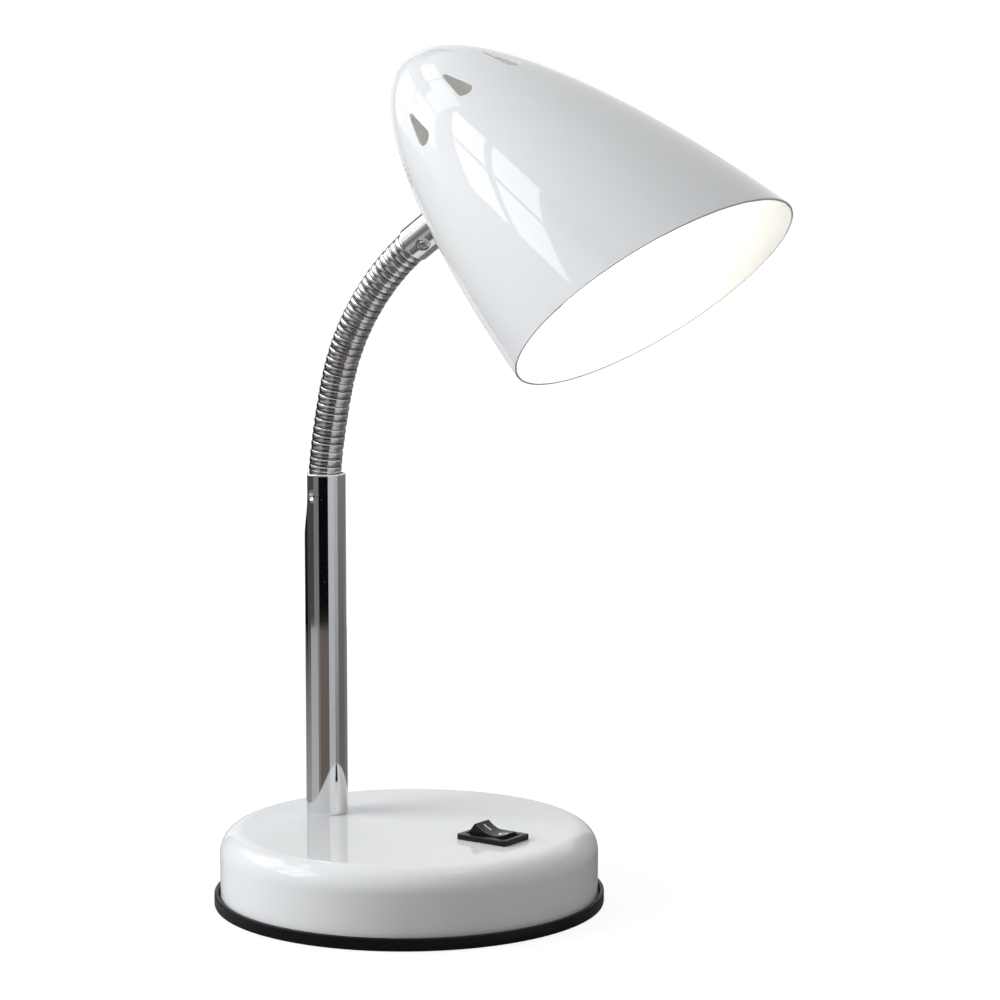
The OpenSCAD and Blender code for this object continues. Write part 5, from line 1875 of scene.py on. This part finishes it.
@dataclass(frozen=True)
class Studio:
    """Camera, floor, backdrop and lights."""

    eye: tuple[float, float, float] = (0.6228, -0.8149, 0.2662)
    heading: float = 35.569
    pitch: float = 6.729
    lens: float = 104.8
    world_level: float = 0.32
    floor_seen: Colour = (0.9, 0.9, 0.9)
    floor_bounce: Colour = (0.32, 0.32, 0.325)
    floor_own_share: float = 0.8
    floor_own_level: float = 1.1
    floor_plain_from: tuple[float, float] = (0.2, 0.7)
    floor_half: float = 6.0
    floor_roughness: float = 0.9
    sensor: float = 36.0
    sight: tuple[float, float] = (0.05, 50.0)

    def set_up(self) -> None:
        """Sets up the studio."""
        self.camera()
        self.backdrop()
        self.floor()
        for prop in (*room(), *LIGHTS, *WINDOWS):
            prop.stand()

    def camera(self) -> None:
        """Stands the camera where the photograph was taken from."""
        data = bpy.data.cameras.new("camera")
        data.lens = self.lens
        data.sensor_width = self.sensor
        data.clip_start, data.clip_end = self.sight
        obj = bpy.data.objects.new("camera", data)
        obj.location = self.eye
        obj.rotation_euler = (math.radians(90 - self.pitch), 0.0, math.radians(self.heading))
        bpy.context.scene.collection.objects.link(obj)
        bpy.context.scene.camera = obj

    def backdrop(self) -> None:
        """Makes the world a plain light, and white to the camera, metal and glass."""
        world = bpy.data.worlds.new("studio")
        bpy.context.scene.world = world
        world.use_nodes = True
        tree = world.node_tree
        tree.nodes.clear()
        out = tree.nodes.new("ShaderNodeOutputWorld")
        light = tree.nodes.new("ShaderNodeBackground")
        white = tree.nodes.new("ShaderNodeBackground")
        mix = tree.nodes.new("ShaderNodeMixShader")
        path = tree.nodes.new("ShaderNodeLightPath")
        seen = [tree.nodes.new("ShaderNodeMath") for _ in range(2)]
        light.inputs["Color"].default_value = COOL_WHITE
        light.inputs["Strength"].default_value = self.world_level
        white.inputs["Color"].default_value = (1.0, 1.0, 1.0, 1.0)
        white.inputs["Strength"].default_value = 1.0
        for node in seen:
            node.operation = "MAXIMUM"
        tree.links.new(path.outputs["Is Camera Ray"], seen[0].inputs[0])
        tree.links.new(path.outputs["Is Glossy Ray"], seen[0].inputs[1])
        tree.links.new(seen[0].outputs[0], seen[1].inputs[0])
        tree.links.new(path.outputs["Is Transmission Ray"], seen[1].inputs[1])
        tree.links.new(seen[1].outputs[0], mix.inputs[0])
        tree.links.new(light.outputs[0], mix.inputs[1])
        tree.links.new(white.outputs[0], mix.inputs[2])
        tree.links.new(mix.outputs[0], out.inputs["Surface"])

    def floor(self) -> None:
        """Lays the floor: pale with the lamp's shadow to the camera, and dimmer to light."""
        work = Workpiece()
        bmesh.ops.create_grid(work.bm, x_segments=1, y_segments=1, size=self.floor_half)
        obj = work.as_object("floor", 1.0)
        bench = NodeBench("pale_floor")
        path = bench.add("ShaderNodeLightPath").outputs["Is Camera Ray"]
        shader = bench.shader
        shader.inputs["Roughness"].default_value = self.floor_roughness
        tone = bench.blend(path, self.floor_bounce, self.floor_seen)
        bench.link(tone, shader.inputs["Base Color"])
        glow = bench.add("ShaderNodeEmission")
        glow.inputs["Strength"].default_value = self.floor_own_level
        away = bench.add("ShaderNodeVectorMath", operation="LENGTH")
        bench.link(bench.here(), away.inputs[0])
        plain = bench.spread(away.outputs["Value"], self.floor_plain_from,
                             (self.floor_own_share, 1.0))
        share = bench.add("ShaderNodeMath", operation="MULTIPLY")
        bench.link(path, share.inputs[0])
        bench.link(plain, share.inputs[1])
        mix = bench.add("ShaderNodeMixShader")
        bench.link(share.outputs[0], mix.inputs[0])
        bench.link(shader.outputs[0], mix.inputs[1])
        bench.link(glow.outputs[0], mix.inputs[2])
        bench.link(mix.outputs[0], bench.tree.nodes["Material Output"].inputs["Surface"])
        obj.data.materials.append(bench.material)


def main() -> None:
    """Builds the lamp and its studio in order."""
    logging.basicConfig(level=logging.INFO, format="%(name)s: %(message)s")
    shop = Paintshop()
    bpy.context.scene.view_settings.view_transform = "Standard"
    Studio().set_up()
    for assembly in (Base(shop), Stem(shop), Gooseneck(shop), Shade(shop), Lampholder(shop),
                     RockerSwitch(shop), CarriedOver(shop)):
        log.info("building %s", type(assembly).__name__)
        assembly.build()


if __name__ == "__main__":
    main()
